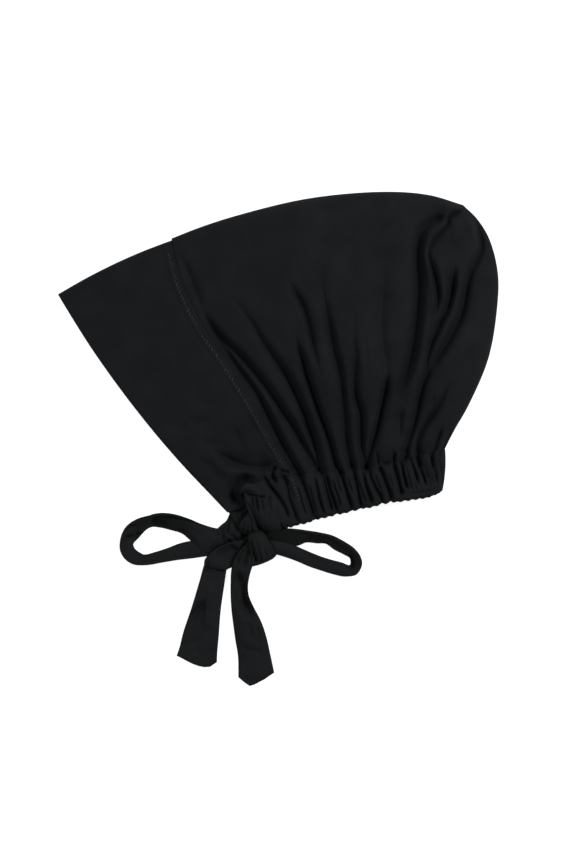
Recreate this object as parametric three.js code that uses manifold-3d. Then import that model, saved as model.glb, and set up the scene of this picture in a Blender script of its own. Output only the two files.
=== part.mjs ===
// A jersey underscarf cap, lying on its side as laid out flat for a picture.
// A doubled front panel is sewn to a full crown, the crown is gathered into an elastic neck
// casing, and the two ties that leave the casing's front ends are knotted in a bow.
// X runs from the face edge to the back of the head, Y from the neck to the ridge, Z up from
// the surface. The origin is at the middle of the whole outline, on the surface.

import * as THREE from 'three';
import Module from 'manifold-3d';

const wasm = await Module();
wasm.setup();

// Cut sizes of the panel and the crown, in millimetres
const seamLength = 175;
const panelRidge = 83.5;
const faceEdge = 183;
const crownRidge = 194;
const neckGathered = 100;
const casingHeight = 27;
const casingUnderPanel = 21;

// Directions of those edges as the cap lies, in degrees from +X
const seamLean = 118;
const panelRidgeLean = 25.2;
const faceEdgeLean = -52.1;
const crownRidgeLean = 6.9;
const neckLean = 9.7;
const casingLeanFront = -64;
const casingLeanBack = -94;

// How far each edge bulges from its straight line
const faceEdgeBulge = 5.6;
const panelRidgeBulge = 2.2;
const crownRidgeBulge = 16.8;
const seamBulge = 8;
const neckSag = 3.3;
const backBulge = 27.5;
const panelFootBulge = 9.8;

// Cloth walls
const crownWall = 1.2;
const panelWall = 1.8;
const casingWall = 3;
const pleatPitch = 4.2;
const pleatDepth = 1.7;
const pleatScallop = 0.8;
const seamGap = 0.3;
const rootClearance = 1;

// Heights of the hollow above the surface
const crownLoft = 27;
const seamLoft = 17;
const neckMouth = 12;
const faceMouth = 15;
const cornerMouth = 5;
const ridgeHeight = 7;
const tipHeight = 4;
const foldDepth = 7;

// The ties and their bow
const tieWidth = 25;
const tieThickness = 2.6;
const knotDistance = 22.5;
const knotDirection = -38;
const knotWidth = 24;
const knotLength = 31;
const knotHeight = 13;
const leftLoopLength = 85;
const leftLoopSpread = 30;
const leftLoopLean = 183.3;
const rightLoopLength = 70;
const rightLoopSpread = 20;
const rightLoopLean = -13.3;
const leftTailLength = 96;
const leftTailLean = -113.6;
const rightTailLength = 100;
const rightTailLean = -89.5;

// Bulge of an edge: share of its length, share of its bulge
const parabola = [
  { along: 0, out: 0 },
  { along: 0.25, out: 0.75 },
  { along: 0.5, out: 1 },
  { along: 0.75, out: 0.75 },
  { along: 1, out: 0 },
];
const crownRidgeRows = [
  { along: 0, out: 0 },
  { along: 0.23, out: 0.62 },
  { along: 0.48, out: 0.97 },
  { along: 0.74, out: 0.87 },
  { along: 0.89, out: 0.55 },
  { along: 1, out: 0 },
];
const backRows = [
  { along: 0, out: 0 },
  { along: 0.08, out: 0.2 },
  { along: 0.18, out: 0.48 },
  { along: 0.38, out: 0.88 },
  { along: 0.58, out: 1 },
  { along: 0.73, out: 0.96 },
  { along: 0.87, out: 0.69 },
  { along: 0.95, out: 0.35 },
  { along: 1, out: 0 },
];
const seamRows = [
  { along: 0, out: 0 },
  { along: 0.1, out: 0.2 },
  { along: 0.31, out: 0.35 },
  { along: 0.52, out: 0.67 },
  { along: 0.64, out: 1 },
  { along: 0.83, out: 0.87 },
  { along: 1, out: 0 },
];
const panelFootRows = [
  { along: 0, out: 0 },
  { along: 0.22, out: 0.95 },
  { along: 0.4, out: 0.95 },
  { along: 0.6, out: 0.6 },
  { along: 1, out: 0 },
];

// Folds of the crown: place across the crown at the fold's foot, middle and head, the share
// of the crown's height where it starts and ends, its depth and its half width
const foldRows = [
  { foot: 0.03, middle: 0.045, head: 0.02, from: -0.1, to: 0.62, depth: 0.75, width: 0.022 },
  { foot: 0.14, middle: 0.125, head: 0.03, from: -0.1, to: 0.72, depth: 1, width: 0.03 },
  { foot: 0.17, middle: 0.225, head: 0.12, from: 0.05, to: 0.8, depth: 0.65, width: 0.03 },
  { foot: 0.27, middle: 0.3, head: 0.3, from: -0.1, to: 0.6, depth: 0.5, width: 0.022 },
  { foot: 0.36, middle: 0.37, head: 0.33, from: 0.3, to: 0.8, depth: 0.4, width: 0.026 },
  { foot: 0.38, middle: 0.44, head: 0.48, from: -0.1, to: 0.8, depth: 0.75, width: 0.026 },
  { foot: 0.45, middle: 0.51, head: 0.52, from: -0.1, to: 0.6, depth: 0.45, width: 0.022 },
  { foot: 0.49, middle: 0.74, head: 0.84, from: -0.1, to: 0.95, depth: 0.95, width: 0.032 },
  { foot: 0.71, middle: 0.86, head: 0.95, from: -0.1, to: 0.95, depth: 0.9, width: 0.028 },
  { foot: 0.81, middle: 0.8, head: 0.84, from: -0.1, to: 0.35, depth: 0.5, width: 0.022 },
];

// Knot: share of its length down from the top, shares of its width and height
const knotRows = [
  { along: 0, wide: 0.2, high: 0.3 },
  { along: 0.12, wide: 0.55, high: 0.6 },
  { along: 0.35, wide: 0.9, high: 0.85 },
  { along: 0.6, wide: 1, high: 1 },
  { along: 0.85, wide: 0.75, high: 0.85 },
  { along: 1, wide: 0.35, high: 0.5 },
];

// Loops: shares of the loop's length and spread, clear height under the strap in tie
// thicknesses, share of the tie's width and the strap's lean in degrees
const leftLoopRows = [
  { out: 0.08, side: 0.03, lift: 2.3, wide: 0.6, lean: 0 },
  { out: 0.2, side: -0.05, lift: 2.3, wide: 0.85, lean: 0 },
  { out: 0.34, side: 0, lift: 2.3, wide: 1, lean: -5 },
  { out: 0.46, side: 0.18, lift: 1.7, wide: 0.85, lean: -22 },
  { out: 0.56, side: 0.36, lift: 0.6, wide: 0.7, lean: -45 },
  { out: 0.67, side: 0.42, lift: 0, wide: 0.65, lean: -55 },
  { out: 0.795, side: 0.46, lift: 0, wide: 0.65, lean: -58 },
  { out: 0.93, side: 0.34, lift: 0, wide: 0.6, lean: -60 },
  { out: 1, side: 0, lift: 0, wide: 0.6, lean: -62 },
  { out: 0.985, side: -0.27, lift: 0, wide: 0.6, lean: -62 },
  { out: 0.875, side: -0.38, lift: 0, wide: 0.6, lean: -60 },
  { out: 0.695, side: -0.34, lift: 0, wide: 0.55, lean: -55 },
  { out: 0.475, side: -0.22, lift: 0.3, wide: 0.55, lean: -30 },
  { out: 0.3, side: -0.1, lift: 1.15, wide: 0.5, lean: 0 },
  { out: 0.1, side: -0.05, lift: 1.15, wide: 0.45, lean: 0 },
];
const rightLoopRows = [
  { out: 0.1, side: 0.1, lift: 1.2, wide: 0.45, lean: 0 },
  { out: 0.244, side: 0.19, lift: 1.2, wide: 0.45, lean: 0 },
  { out: 0.43, side: 0.305, lift: 1.2, wide: 0.5, lean: 15 },
  { out: 0.615, side: 0.43, lift: 0.5, wide: 0.55, lean: 45 },
  { out: 0.73, side: 0.39, lift: 0, wide: 0.55, lean: 60 },
  { out: 0.857, side: 0.29, lift: 0, wide: 0.55, lean: 62 },
  { out: 1, side: 0, lift: 0, wide: 0.6, lean: 60 },
  { out: 0.98, side: -0.25, lift: 0, wide: 0.6, lean: 60 },
  { out: 0.9, side: -0.39, lift: 0, wide: 0.55, lean: 65 },
  { out: 0.786, side: -0.42, lift: 0, wide: 0.55, lean: 55 },
  { out: 0.67, side: -0.375, lift: 0, wide: 0.6, lean: 40 },
  { out: 0.55, side: -0.32, lift: 0, wide: 0.55, lean: 20 },
  { out: 0.42, side: -0.2, lift: 0, wide: 0.5, lean: 0 },
  { out: 0.12, side: -0.2, lift: 0, wide: 0.45, lean: 0 },
];

// Tails: shares of the tail's length, sideways share of the tie's width, clear height under
// the strap in tie thicknesses and share of the tie's width
const leftTailRows = [
  { out: 0.15, side: -0.05, lift: 0, wide: 0.36 },
  { out: 0.25, side: -0.4, lift: 0, wide: 0.48 },
  { out: 0.365, side: -0.58, lift: 0, wide: 0.68 },
  { out: 0.62, side: -0.37, lift: 0, wide: 0.82 },
  { out: 0.87, side: -0.16, lift: 0, wide: 1 },
  { out: 1, side: 0, lift: 0, wide: 1 },
];
const rightTailRows = [
  { out: 0.1, side: -0.08, lift: 1.15, wide: 0.4 },
  { out: 0.265, side: -0.34, lift: 1.15, wide: 0.5 },
  { out: 0.43, side: -0.37, lift: 0.2, wide: 0.55 },
  { out: 0.51, side: -0.29, lift: 0, wide: 0.66 },
  { out: 0.677, side: -0.1, lift: 0, wide: 0.87 },
  { out: 0.84, side: 0.02, lift: 0, wide: 0.9 },
  { out: 1, side: 0.04, lift: 0, wide: 1 },
];

// Roots of the ties, from the casing to the knot: share of the way, sideways share of the
// tie's width, share of the drop to the knot and share of the tie's width
const nearRootRows = [
  { out: -0.12, side: 0, drop: 0, wide: 0.75 },
  { out: 0.2, side: 0.12, drop: 0.15, wide: 1 },
  { out: 0.5, side: 0.3, drop: 0.4, wide: 1.1 },
  { out: 0.75, side: 0.3, drop: 0.8, wide: 1.1 },
  { out: 0.95, side: 0.1, drop: 1, wide: 0.6 },
];
const farRootRows = [
  { out: 0, side: 0, drop: 0, wide: 0.5 },
  { out: 0.48, side: -0.49, drop: 0, wide: 0.5 },
  { out: 0.95, side: -0.74, drop: 0, wide: 0.45 },
  { out: 1.29, side: -0.85, drop: 0, wide: 0.42 },
  { out: 1.4, side: -0.64, drop: 0, wide: 0.36 },
  { out: 1.19, side: -0.3, drop: 0, wide: 0.36 },
];

// Points on the surface where the edges meet
const lerp = THREE.MathUtils.lerp;

function away(from, length, degrees) {
  const angle = THREE.MathUtils.degToRad(degrees);
  const reach = new THREE.Vector3(Math.cos(angle), Math.sin(angle), 0);
  return from.clone().addScaledVector(reach, length);
}

const seamFoot = new THREE.Vector3();
const seamTop = away(seamFoot, seamLength, seamLean);
const tip = away(seamTop, -panelRidge, panelRidgeLean);
const faceCorner = away(tip, faceEdge, faceEdgeLean);
const crownTip = away(seamTop, crownRidge, crownRidgeLean);
const neckBack = away(seamFoot, neckGathered, neckLean);
const knotCentre = away(faceCorner, knotDistance, knotDirection);
const acrossSeam = away(new THREE.Vector3(), 1, crownRidgeLean);
const upward = new THREE.Vector3(0, 0, 1);

// A smooth edge through its bulge rows; a share of its length gives a point
function edge(from, to, rows, bulge) {
  const line = to.clone().sub(from);
  const outward = new THREE.Vector3().crossVectors(upward, line).normalize();
  const points = rows.map((row) => {
    const onLine = from.clone().addScaledVector(line, row.along);
    return onLine.addScaledVector(outward, bulge * row.out);
  });
  const curve = new THREE.CatmullRomCurve3(points, false, 'centripetal');
  return (share) => curve.getPointAt(THREE.MathUtils.clamp(share, 0, 1));
}

const seamEdge = edge(seamFoot, seamTop, seamRows, seamBulge);
const crownRidgeEdge = edge(seamTop, crownTip, crownRidgeRows, crownRidgeBulge);
const neckEdge = edge(seamFoot, neckBack, parabola, -neckSag);
const backEdge = edge(neckBack, crownTip, backRows, -backBulge);
const panelRidgeEdge = edge(tip, seamTop, parabola, panelRidgeBulge);
const faceEdgeLine = edge(faceCorner, tip, parabola, faceEdgeBulge);
const panelFootEdge = edge(faceCorner, seamFoot, panelFootRows, panelFootBulge);

// Bulge of an edge away from the straight line between its ends
function pull(edgeLine, from, to, share) {
  return edgeLine(share).sub(from.clone().lerp(to, share));
}

function crownPlan(across, up) {
  const point = neckEdge(across).lerp(crownRidgeEdge(across), up);
  point.addScaledVector(pull(seamEdge, seamFoot, seamTop, up), (1 - across) ** 2);
  return point.addScaledVector(pull(backEdge, neckBack, crownTip, up), across ** 3);
}

function panelPlan(across, up) {
  const point = faceEdgeLine(up).lerp(seamEdge(up), across);
  const footPull = pull(panelFootEdge, faceCorner, seamFoot, across);
  point.addScaledVector(footPull, (1 - up) ** 4);
  return point.addScaledVector(pull(panelRidgeEdge, tip, seamTop, across), up ** 3);
}

// Heights of the two walls
const eased = (share) => THREE.MathUtils.smoothstep(share, 0, 1);
const loftReach = 0.45;
const ridgeRoundness = 5;
const backRoundness = 6;
const cornerLift = tieThickness + 2 * seamGap;
const cornerReach = 1.2 * tieWidth;

function foldAt(row, up) {
  const along = (up - row.from) / (row.to - row.from);
  if (along <= 0 || along >= 1) {
    return null;
  }
  const start = row.foot * (1 - along) * (1 - 2 * along);
  const centre = 4 * row.middle * along * (1 - along);
  const end = row.head * along * (2 * along - 1);
  return { line: start + centre + end, strength: eased(along / 0.15) * eased((1 - along) / 0.35) };
}

function crownFold(across, up) {
  const depths = foldRows.map((row) => {
    const fold = foldAt(row, up);
    if (!fold) {
      return 0;
    }
    const aside = (across - fold.line) / row.width;
    return row.depth * fold.strength * Math.exp(-aside * aside);
  });
  return foldDepth * Math.max(...depths) * eased(up / 0.1);
}

function crownRise(across, up) {
  const overRidge = Math.sqrt(1 - up ** ridgeRoundness);
  const overBack = Math.sqrt(1 - across ** backRoundness);
  const fromNeck = lerp(neckMouth / crownLoft, 1, eased(up / loftReach));
  const fromSeam = lerp(seamLoft / crownLoft, 1, eased(across / loftReach));
  return crownLoft * overRidge * overBack * fromNeck * fromSeam;
}

function panelRise(across, up) {
  const overRidge = Math.sqrt(1 - up ** ridgeRoundness);
  const faceRise = lerp(cornerMouth, faceMouth, eased(up / loftReach)) * overRidge;
  return lerp(faceRise, crownRise(0, up), eased(across));
}

// Rounding of the lower wall where it turns up into a fold line
function turn(point, line, radius) {
  const inside = THREE.MathUtils.clamp(1 - point.distanceTo(line) / radius, 0, 1);
  return Math.sqrt(1 - inside * inside);
}

function crownPoint(near, across, up) {
  const point = crownPlan(across, up);
  if (near) {
    const rise = crownRise(across, up);
    point.z = ridgeHeight + rise - crownFold(across, up) * Math.sqrt(rise / crownLoft);
    return point;
  }
  const ridgeTurn = turn(point, crownRidgeEdge(across), ridgeHeight);
  const backTurn = turn(point, backEdge(up), ridgeHeight);
  point.z = ridgeHeight * (1 - ridgeTurn * backTurn);
  return point;
}

function panelPoint(near, across, up) {
  const point = panelPlan(across, up);
  const lift = cornerLift * eased(1 - point.distanceTo(faceCorner) / cornerReach);
  const ridge = lerp(tipHeight, ridgeHeight, eased(across));
  if (near) {
    point.z = ridge + lift + panelRise(across, up);
    return point;
  }
  const fold = panelPlan(across, 1);
  point.z = lift + ridge * (1 - turn(point, fold, ridge));
  return point;
}

// The ring where the casing hangs from the crown and from the end of the panel's foot.
// Shares run from 0 at the seam to 1 at the back; below 0 they run under the panel.
const panelFootLength = faceCorner.distanceTo(seamFoot);
const ringFront = -casingUnderPanel / neckGathered;

function ringPoint(near, share) {
  if (share >= 0) {
    return crownPoint(near, Math.min(share, 1), 0);
  }
  return panelPoint(near, 1 + (share * neckGathered) / panelFootLength, 0);
}

function casingDown(share) {
  const turned = ((share - ringFront) / (1 - ringFront)) ** 0.6;
  return away(new THREE.Vector3(), 1, lerp(casingLeanFront, casingLeanBack, turned));
}

// Directions out of the walls along the ring and the seam, shared by the pieces that meet
const step = 0.01;

function outOf(alongRim, acrossRim, side) {
  const out = new THREE.Vector3().crossVectors(alongRim, acrossRim).normalize();
  return out.dot(side) < 0 ? out.negate() : out;
}

function ringNormal(near, share) {
  const back = neckEdge(1).sub(neckEdge(1 - step)).normalize();
  if (share >= 1) {
    return outOf(upward, casingDown(1), back);
  }
  const along = ringPoint(near, share + step).sub(ringPoint(near, share - step));
  const side = near ? upward : upward.clone().negate();
  return outOf(along, casingDown(share), side);
}

function seamNormal(near, up) {
  const top = seamEdge(1).sub(seamEdge(1 - step)).normalize();
  if (up >= 1) {
    return outOf(upward, acrossSeam, top);
  }
  const along = crownPoint(near, 0, up + step / 2).sub(crownPoint(near, 0, up - step / 2));
  const side = near ? upward : upward.clone().negate();
  return outOf(along, acrossSeam, side);
}

// A wall of cloth made from an open skin: the lining lies inside it by the wall's depth
class Skin {
  constructor() {
    this.points = [];
    this.normals = [];
    this.sinks = [];
    this.faces = [];
  }

  add(point, normal = null, sink = 0) {
    this.points.push(point);
    this.normals.push(normal);
    this.sinks.push(sink);
    return this.points.length - 1;
  }

  quad(a, b, c, d) {
    const p = this.points;
    if (p[a].distanceTo(p[c]) <= p[b].distanceTo(p[d])) {
      this.faces.push([a, b, c], [a, c, d]);
      return;
    }
    this.faces.push([a, b, d], [b, c, d]);
  }

  settledNormals() {
    const sums = this.points.map(() => new THREE.Vector3());
    for (const face of this.faces) {
      const [a, b, c] = face.map((index) => this.points[index]);
      const area = b.clone().sub(a).cross(c.clone().sub(a));
      face.forEach((index) => sums[index].add(area));
    }
    return sums.map((sum, index) => this.normals[index] ?? sum.normalize());
  }

  wall(depth) {
    const count = this.points.length;
    const normals = this.settledNormals();
    const outer = this.points.map((p, i) => p.clone().addScaledVector(normals[i], -this.sinks[i]));
    const inner = this.points.map((p, i) => p.clone().addScaledVector(normals[i], -depth));
    const triangles = [...this.faces];
    const edges = new Map();
    for (const [a, b, c] of this.faces) {
      triangles.push([c + count, b + count, a + count]);
      for (const [from, to] of [[a, b], [b, c], [c, a]]) {
        const back = `${to},${from}`;
        if (!edges.delete(back)) {
          edges.set(`${from},${to}`, [from, to]);
        }
      }
    }
    for (const [from, to] of edges.values()) {
      triangles.push([to, from, from + count], [to, from + count, to + count]);
    }
    return solid([...outer, ...inner], triangles);
  }
}

function solid(points, triangles) {
  const geometry = new THREE.BufferGeometry();
  const values = points.flatMap((point) => [point.x, point.y, point.z]);
  geometry.setAttribute('position', new THREE.Float32BufferAttribute(values, 3));
  geometry.setIndex(triangles.flat());
  return geometry;
}

// Shares packed closer at both ends, so that the turns into the fold lines stay round
function packed(index, count, ends) {
  const share = index / count;
  return share - (ends * Math.sin(2 * Math.PI * share)) / (2 * Math.PI);
}

const upSteps = 14;
const crownSteps = 50;
const panelSteps = 9;

function crownGeometry() {
  const skin = new Skin();
  const rows = [true, false].map(() => []);
  rows.forEach((columns, side) => {
    const near = side === 0;
    for (let i = 0; i <= crownSteps; i += 1) {
      const across = i / crownSteps;
      columns.push([]);
      for (let j = 0; j <= upSteps; j += 1) {
        const up = packed(j, upSteps, 0.7);
        if (!near && (i === crownSteps || j === upSteps)) {
          columns[i].push(rows[0][i][j]);
          continue;
        }
        const seam = i === 0 ? seamNormal(near, up) : null;
        const normal = j === 0 ? ringNormal(near, across) : seam;
        columns[i].push(skin.add(crownPoint(near, across, up), normal));
      }
    }
  });
  stitchSides(skin, rows, crownSteps);
  return skin.wall(crownWall);
}

function stitchSides(skin, rows, columnSteps) {
  for (let i = 0; i < columnSteps; i += 1) {
    for (let j = 0; j < upSteps; j += 1) {
      const [near, far] = rows;
      skin.quad(near[i][j], near[i + 1][j], near[i + 1][j + 1], near[i][j + 1]);
      skin.quad(far[i][j + 1], far[i + 1][j + 1], far[i + 1][j], far[i][j]);
    }
  }
}

function panelGeometry() {
  const skin = new Skin();
  const rows = [true, false].map(() => []);
  const footEnd = 1 - casingUnderPanel / panelFootLength;
  rows.forEach((columns, side) => {
    const near = side === 0;
    for (let i = 0; i <= panelSteps; i += 1) {
      const across = i / panelSteps;
      columns.push([]);
      for (let j = 0; j <= upSteps; j += 1) {
        const up = packed(j, upSteps, 0.7);
        if (!near && j === upSteps) {
          columns[i].push(rows[0][i][j]);
          continue;
        }
        const point = panelPoint(near, across, up);
        let normal = null;
        if (i === panelSteps) {
          normal = seamNormal(near, up);
          point.addScaledVector(acrossSeam, -seamGap);
        }
        if (j === 0 && across >= footEnd) {
          normal = ringNormal(near, ((across - 1) * panelFootLength) / neckGathered);
        }
        columns[i].push(skin.add(point, normal));
      }
    }
  });
  stitchSides(skin, rows, panelSteps);
  return skin.wall(panelWall);
}

// The gathered casing: a ring of pleats, open at the front
const columnsPerPleat = 4;
const casingRows = 2;

function casingGeometry() {
  const skin = new Skin();
  const ringLength = neckGathered * (1 - ringFront);
  const sideColumns = columnsPerPleat * Math.round(ringLength / pleatPitch);
  const columns = [];
  for (let i = 0; i <= 2 * sideColumns; i += 1) {
    const near = i <= sideColumns;
    const travelled = near ? i / sideColumns : 2 - i / sideColumns;
    const share = lerp(ringFront, 1, travelled);
    const top = ringPoint(near, share);
    const pleat = 0.5 - 0.5 * Math.cos((2 * Math.PI * i) / columnsPerPleat);
    const down = casingDown(share);
    const normal = ringNormal(near, share);
    const column = [];
    for (let j = 0; j <= casingRows; j += 1) {
      const lower = j / casingRows;
      const scallop = lower * pleat * pleatScallop;
      const point = top.clone().addScaledVector(down, seamGap + lower * casingHeight - scallop);
      const sink = pleatDepth * pleat * (j === 0 ? 0.5 : 1);
      column.push(skin.add(point, normal, sink));
    }
    columns.push(column);
  }
  for (let i = 0; i < 2 * sideColumns; i += 1) {
    for (let j = 0; j < casingRows; j += 1) {
      skin.quad(columns[i][j], columns[i][j + 1], columns[i + 1][j + 1], columns[i + 1][j]);
    }
  }
  return skin.wall(casingWall);
}

// A strap swept along rows of centre, width and lean
const strapSteps = 2;

function strapGeometry(stations) {
  const path = new THREE.CatmullRomCurve3(stations.map((row) => row.centre), false, 'centripetal');
  const last = stations.length - 1;
  const count = strapSteps * last;
  const half = tieThickness / 2;
  const points = [];
  const triangles = [];
  for (let i = 0; i <= count; i += 1) {
    const share = i / count;
    const index = Math.min(Math.floor(share * last), last - 1);
    const within = share * last - index;
    const wide = lerp(stations[index].wide, stations[index + 1].wide, within) / 2;
    const lean = THREE.MathUtils.degToRad(lerp(stations[index].lean, stations[index + 1].lean, within));
    const centre = path.getPoint(share);
    const along = path.getTangent(share);
    const level = new THREE.Vector3().crossVectors(upward, along).normalize();
    const across = level.multiplyScalar(Math.cos(lean)).addScaledVector(upward, Math.sin(lean));
    const out = new THREE.Vector3().crossVectors(along, across).normalize();
    const section = [[-wide, 0], [half - wide, -half], [wide - half, -half],
      [wide, 0], [wide - half, half], [half - wide, half]];
    for (const [aside, raised] of section) {
      const point = centre.clone().addScaledVector(across, aside).addScaledVector(out, raised);
      points.push(point.setZ(Math.max(point.z, 0)));
    }
  }
  sweepFaces(triangles, count, 6);
  return solid(points, triangles);
}

function sweepFaces(triangles, count, sides) {
  for (let i = 0; i < count; i += 1) {
    for (let k = 0; k < sides; k += 1) {
      const next = (k + 1) % sides;
      const a = i * sides + k;
      const b = i * sides + next;
      triangles.push([a, b, a + sides], [b, b + sides, a + sides]);
    }
  }
  const end = count * sides;
  for (let k = 1; k < sides - 1; k += 1) {
    triangles.push([0, k + 1, k], [end, end + k, end + k + 1]);
  }
}

// Stations of a loop or tail that leaves the knot
function fromKnot(rows, length, spread, leanOut, hand) {
  const out = away(new THREE.Vector3(), 1, leanOut);
  const side = new THREE.Vector3().crossVectors(upward, out).multiplyScalar(hand);
  return rows.map((row) => {
    const lean = row.lean ?? 0;
    const wide = row.wide * tieWidth;
    const angle = Math.abs(THREE.MathUtils.degToRad(lean));
    const halfHeight = (wide * Math.sin(angle) + tieThickness * Math.cos(angle)) / 2;
    const centre = knotCentre.clone().addScaledVector(out, row.out * length);
    centre.addScaledVector(side, row.side * spread);
    centre.z = row.lift * tieThickness + halfHeight;
    return { centre, wide, lean };
  });
}

// Stations of a tie's root, which runs from the casing to the knot
function toKnot(rows, from, to) {
  const way = to.clone().sub(from);
  const side = new THREE.Vector3().crossVectors(upward, way).setZ(0).normalize();
  return rows.map((row) => {
    const centre = from.clone().addScaledVector(way, row.out);
    centre.addScaledVector(side, row.side * tieWidth);
    centre.z = lerp(from.z, to.z, row.drop);
    return { centre, wide: row.wide * tieWidth, lean: 0 };
  });
}

// The knot: round sections down its length, standing on the surface
const knotSides = 14;

function knotGeometry(grown) {
  const points = [];
  const triangles = [];
  for (const row of knotRows) {
    const wide = (row.wide * knotWidth) / 2 + grown;
    const high = (row.high * knotHeight) / 2 + grown;
    const along = (0.5 - row.along) * (knotLength + 2 * grown);
    for (let k = 0; k < knotSides; k += 1) {
      const angle = (2 * Math.PI * k) / knotSides;
      const aside = wide * Math.cos(angle);
      const height = high - grown + high * Math.sin(angle);
      points.push(new THREE.Vector3(knotCentre.x + aside, knotCentre.y + along, height));
    }
  }
  sweepFaces(triangles, knotRows.length - 1, knotSides);
  return solid(points, triangles);
}

// A strap cut back to clear the knot
function manifoldOf(geometry) {
  const vertProperties = new Float32Array(geometry.getAttribute('position').array);
  const triVerts = new Uint32Array(geometry.getIndex().array);
  return new wasm.Manifold(new wasm.Mesh({ numProp: 3, vertProperties, triVerts }));
}

function clearOfKnot(geometry) {
  const cut = manifoldOf(geometry).subtract(manifoldOf(knotGeometry(seamGap))).getMesh();
  const cleared = new THREE.BufferGeometry();
  cleared.setAttribute('position', new THREE.BufferAttribute(cut.vertProperties, 3));
  cleared.setIndex(new THREE.BufferAttribute(cut.triVerts, 1));
  return cleared;
}

// The whole cap
const cap = new THREE.Group();

function piece(name, geometry, colour, roughness) {
  const material = new THREE.MeshStandardMaterial({ color: colour, roughness, metalness: 0 });
  const mesh = new THREE.Mesh(geometry, material);
  mesh.name = name;
  cap.add(mesh);
}

const jersey = 0x17181a;
const tieJersey = 0x1b1c1e;
piece('front_panel', panelGeometry(), jersey, 0.85);
piece('crown', crownGeometry(), jersey, 0.85);
piece('neck_casing', casingGeometry(), jersey, 0.9);

const knotTop = knotCentre.clone().setZ(knotHeight - 2 * tieThickness);
const nearRootStart = panelFootEdge(0.36).addScaledVector(casingDown(ringFront), seamGap);
nearRootStart.z = panelPoint(true, 0.36, 0).z - panelWall - tieThickness / 2 - rootClearance;
const farRootStart = ringPoint(false, ringFront).addScaledVector(casingDown(ringFront), casingHeight / 2);
farRootStart.addScaledVector(away(new THREE.Vector3(), 1, casingLeanFront - 90), 2 * rootClearance);
farRootStart.z = tieThickness / 2;
const farRootEnd = knotCentre.clone().setZ(tieThickness / 2);

const leftLoop = fromKnot(leftLoopRows, leftLoopLength, leftLoopSpread, leftLoopLean, -1);
const rightLoop = fromKnot(rightLoopRows, rightLoopLength, rightLoopSpread, rightLoopLean, 1);
const leftTail = fromKnot(leftTailRows, leftTailLength, tieWidth, leftTailLean, 1);
const rightTail = fromKnot(rightTailRows, rightTailLength, tieWidth, rightTailLean, 1);
const straps = {
  tie_root_near: toKnot(nearRootRows, nearRootStart, knotTop),
  tie_root_far: toKnot(farRootRows, farRootStart, farRootEnd),
  bow_loop_left: leftLoop,
  bow_loop_right: rightLoop,
  tie_tail_left: leftTail,
  tie_tail_right: rightTail,
};
for (const [name, stations] of Object.entries(straps)) {
  piece(name, clearOfKnot(strapGeometry(stations)), tieJersey, 0.85);
}
piece('bow_knot', knotGeometry(0), tieJersey, 0.85);

// The origin goes to the middle of the outline, on the surface
cap.updateMatrixWorld(true);
const outline = new THREE.Box3().setFromObject(cap, true);
const middle = outline.getCenter(new THREE.Vector3());
cap.position.set(-middle.x, -middle.y, -outline.min.z);

export default cap;
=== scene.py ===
# %% [markdown]
# # A jersey underscarf cap, knot by knot
# The cap lies on its side on a white table and is looked at from straight above. It is
# sewn from four kinds of piece: a doubled panel that frames the face, a full crown, an
# elastic casing along the nape, and two ties knotted in a bow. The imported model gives
# the frame: every piece made here stands where its solid stands, in metres.

import bmesh
import bpy
import numpy as np
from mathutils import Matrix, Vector
from mathutils.bvhtree import BVHTree


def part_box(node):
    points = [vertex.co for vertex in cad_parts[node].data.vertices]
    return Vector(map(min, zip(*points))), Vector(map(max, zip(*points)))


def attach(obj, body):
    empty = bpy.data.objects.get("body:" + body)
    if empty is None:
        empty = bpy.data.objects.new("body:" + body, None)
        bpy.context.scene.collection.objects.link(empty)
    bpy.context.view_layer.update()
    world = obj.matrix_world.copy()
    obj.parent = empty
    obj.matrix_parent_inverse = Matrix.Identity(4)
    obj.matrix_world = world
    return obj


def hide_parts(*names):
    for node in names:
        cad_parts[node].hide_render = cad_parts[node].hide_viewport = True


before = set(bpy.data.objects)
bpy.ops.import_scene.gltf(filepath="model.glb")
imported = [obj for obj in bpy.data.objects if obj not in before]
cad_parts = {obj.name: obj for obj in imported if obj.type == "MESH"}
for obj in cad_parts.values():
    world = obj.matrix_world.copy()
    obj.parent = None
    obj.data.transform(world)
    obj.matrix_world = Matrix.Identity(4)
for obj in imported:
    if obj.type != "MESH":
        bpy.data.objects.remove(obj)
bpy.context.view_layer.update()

# %% [markdown]
# ## A grid to measure with
# The cap is drawn on a grid of 0.66 mm steps, counted right and down from the picture's
# corner, so that a place on the cap and a place in the picture are the same two numbers.
# The foot of the seam is the pattern's own starting point. The knot's solid says where
# that point lies in the frame.

# %% Grid and pattern corners
GRID, PER_METRE = 0.66, 1000
SEAM_FOOT_SPOT = (296, 474)


def spot(right, down):
    """A place of the grid, in millimetres from the foot of the seam."""
    right, down = np.asarray(right, float), np.asarray(down, float)
    from_foot = (right - SEAM_FOOT_SPOT[0]) * GRID, (SEAM_FOOT_SPOT[1] - down) * GRID
    return np.stack(from_foot, -1)


def away(start, length, degrees):
    """The point at a length, in millimetres, and an angle from another point."""
    angle = np.radians(degrees)
    return np.asarray(start, float) + length * np.array([np.cos(angle), np.sin(angle)])


NECK_RUN = 100
seam_foot = np.zeros(2)
seam_top = away(seam_foot, 175, 118)
tip = away(seam_top, -83.5, 25.2)
face_corner = away(tip, 183, -52.1)
crown_tip = away(seam_top, 194, 6.9)
neck_back = away(seam_foot, NECK_RUN, 9.7)
knot_centre = away(face_corner, 22.5, -38)

knot_low, knot_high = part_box("bow_knot")
knot_place = PER_METRE / 2 * (np.array(knot_low[:2]) + np.array(knot_high[:2]))
shift = knot_place - knot_centre
print("seam foot in the frame, mm:", np.round(shift, 2))

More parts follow.
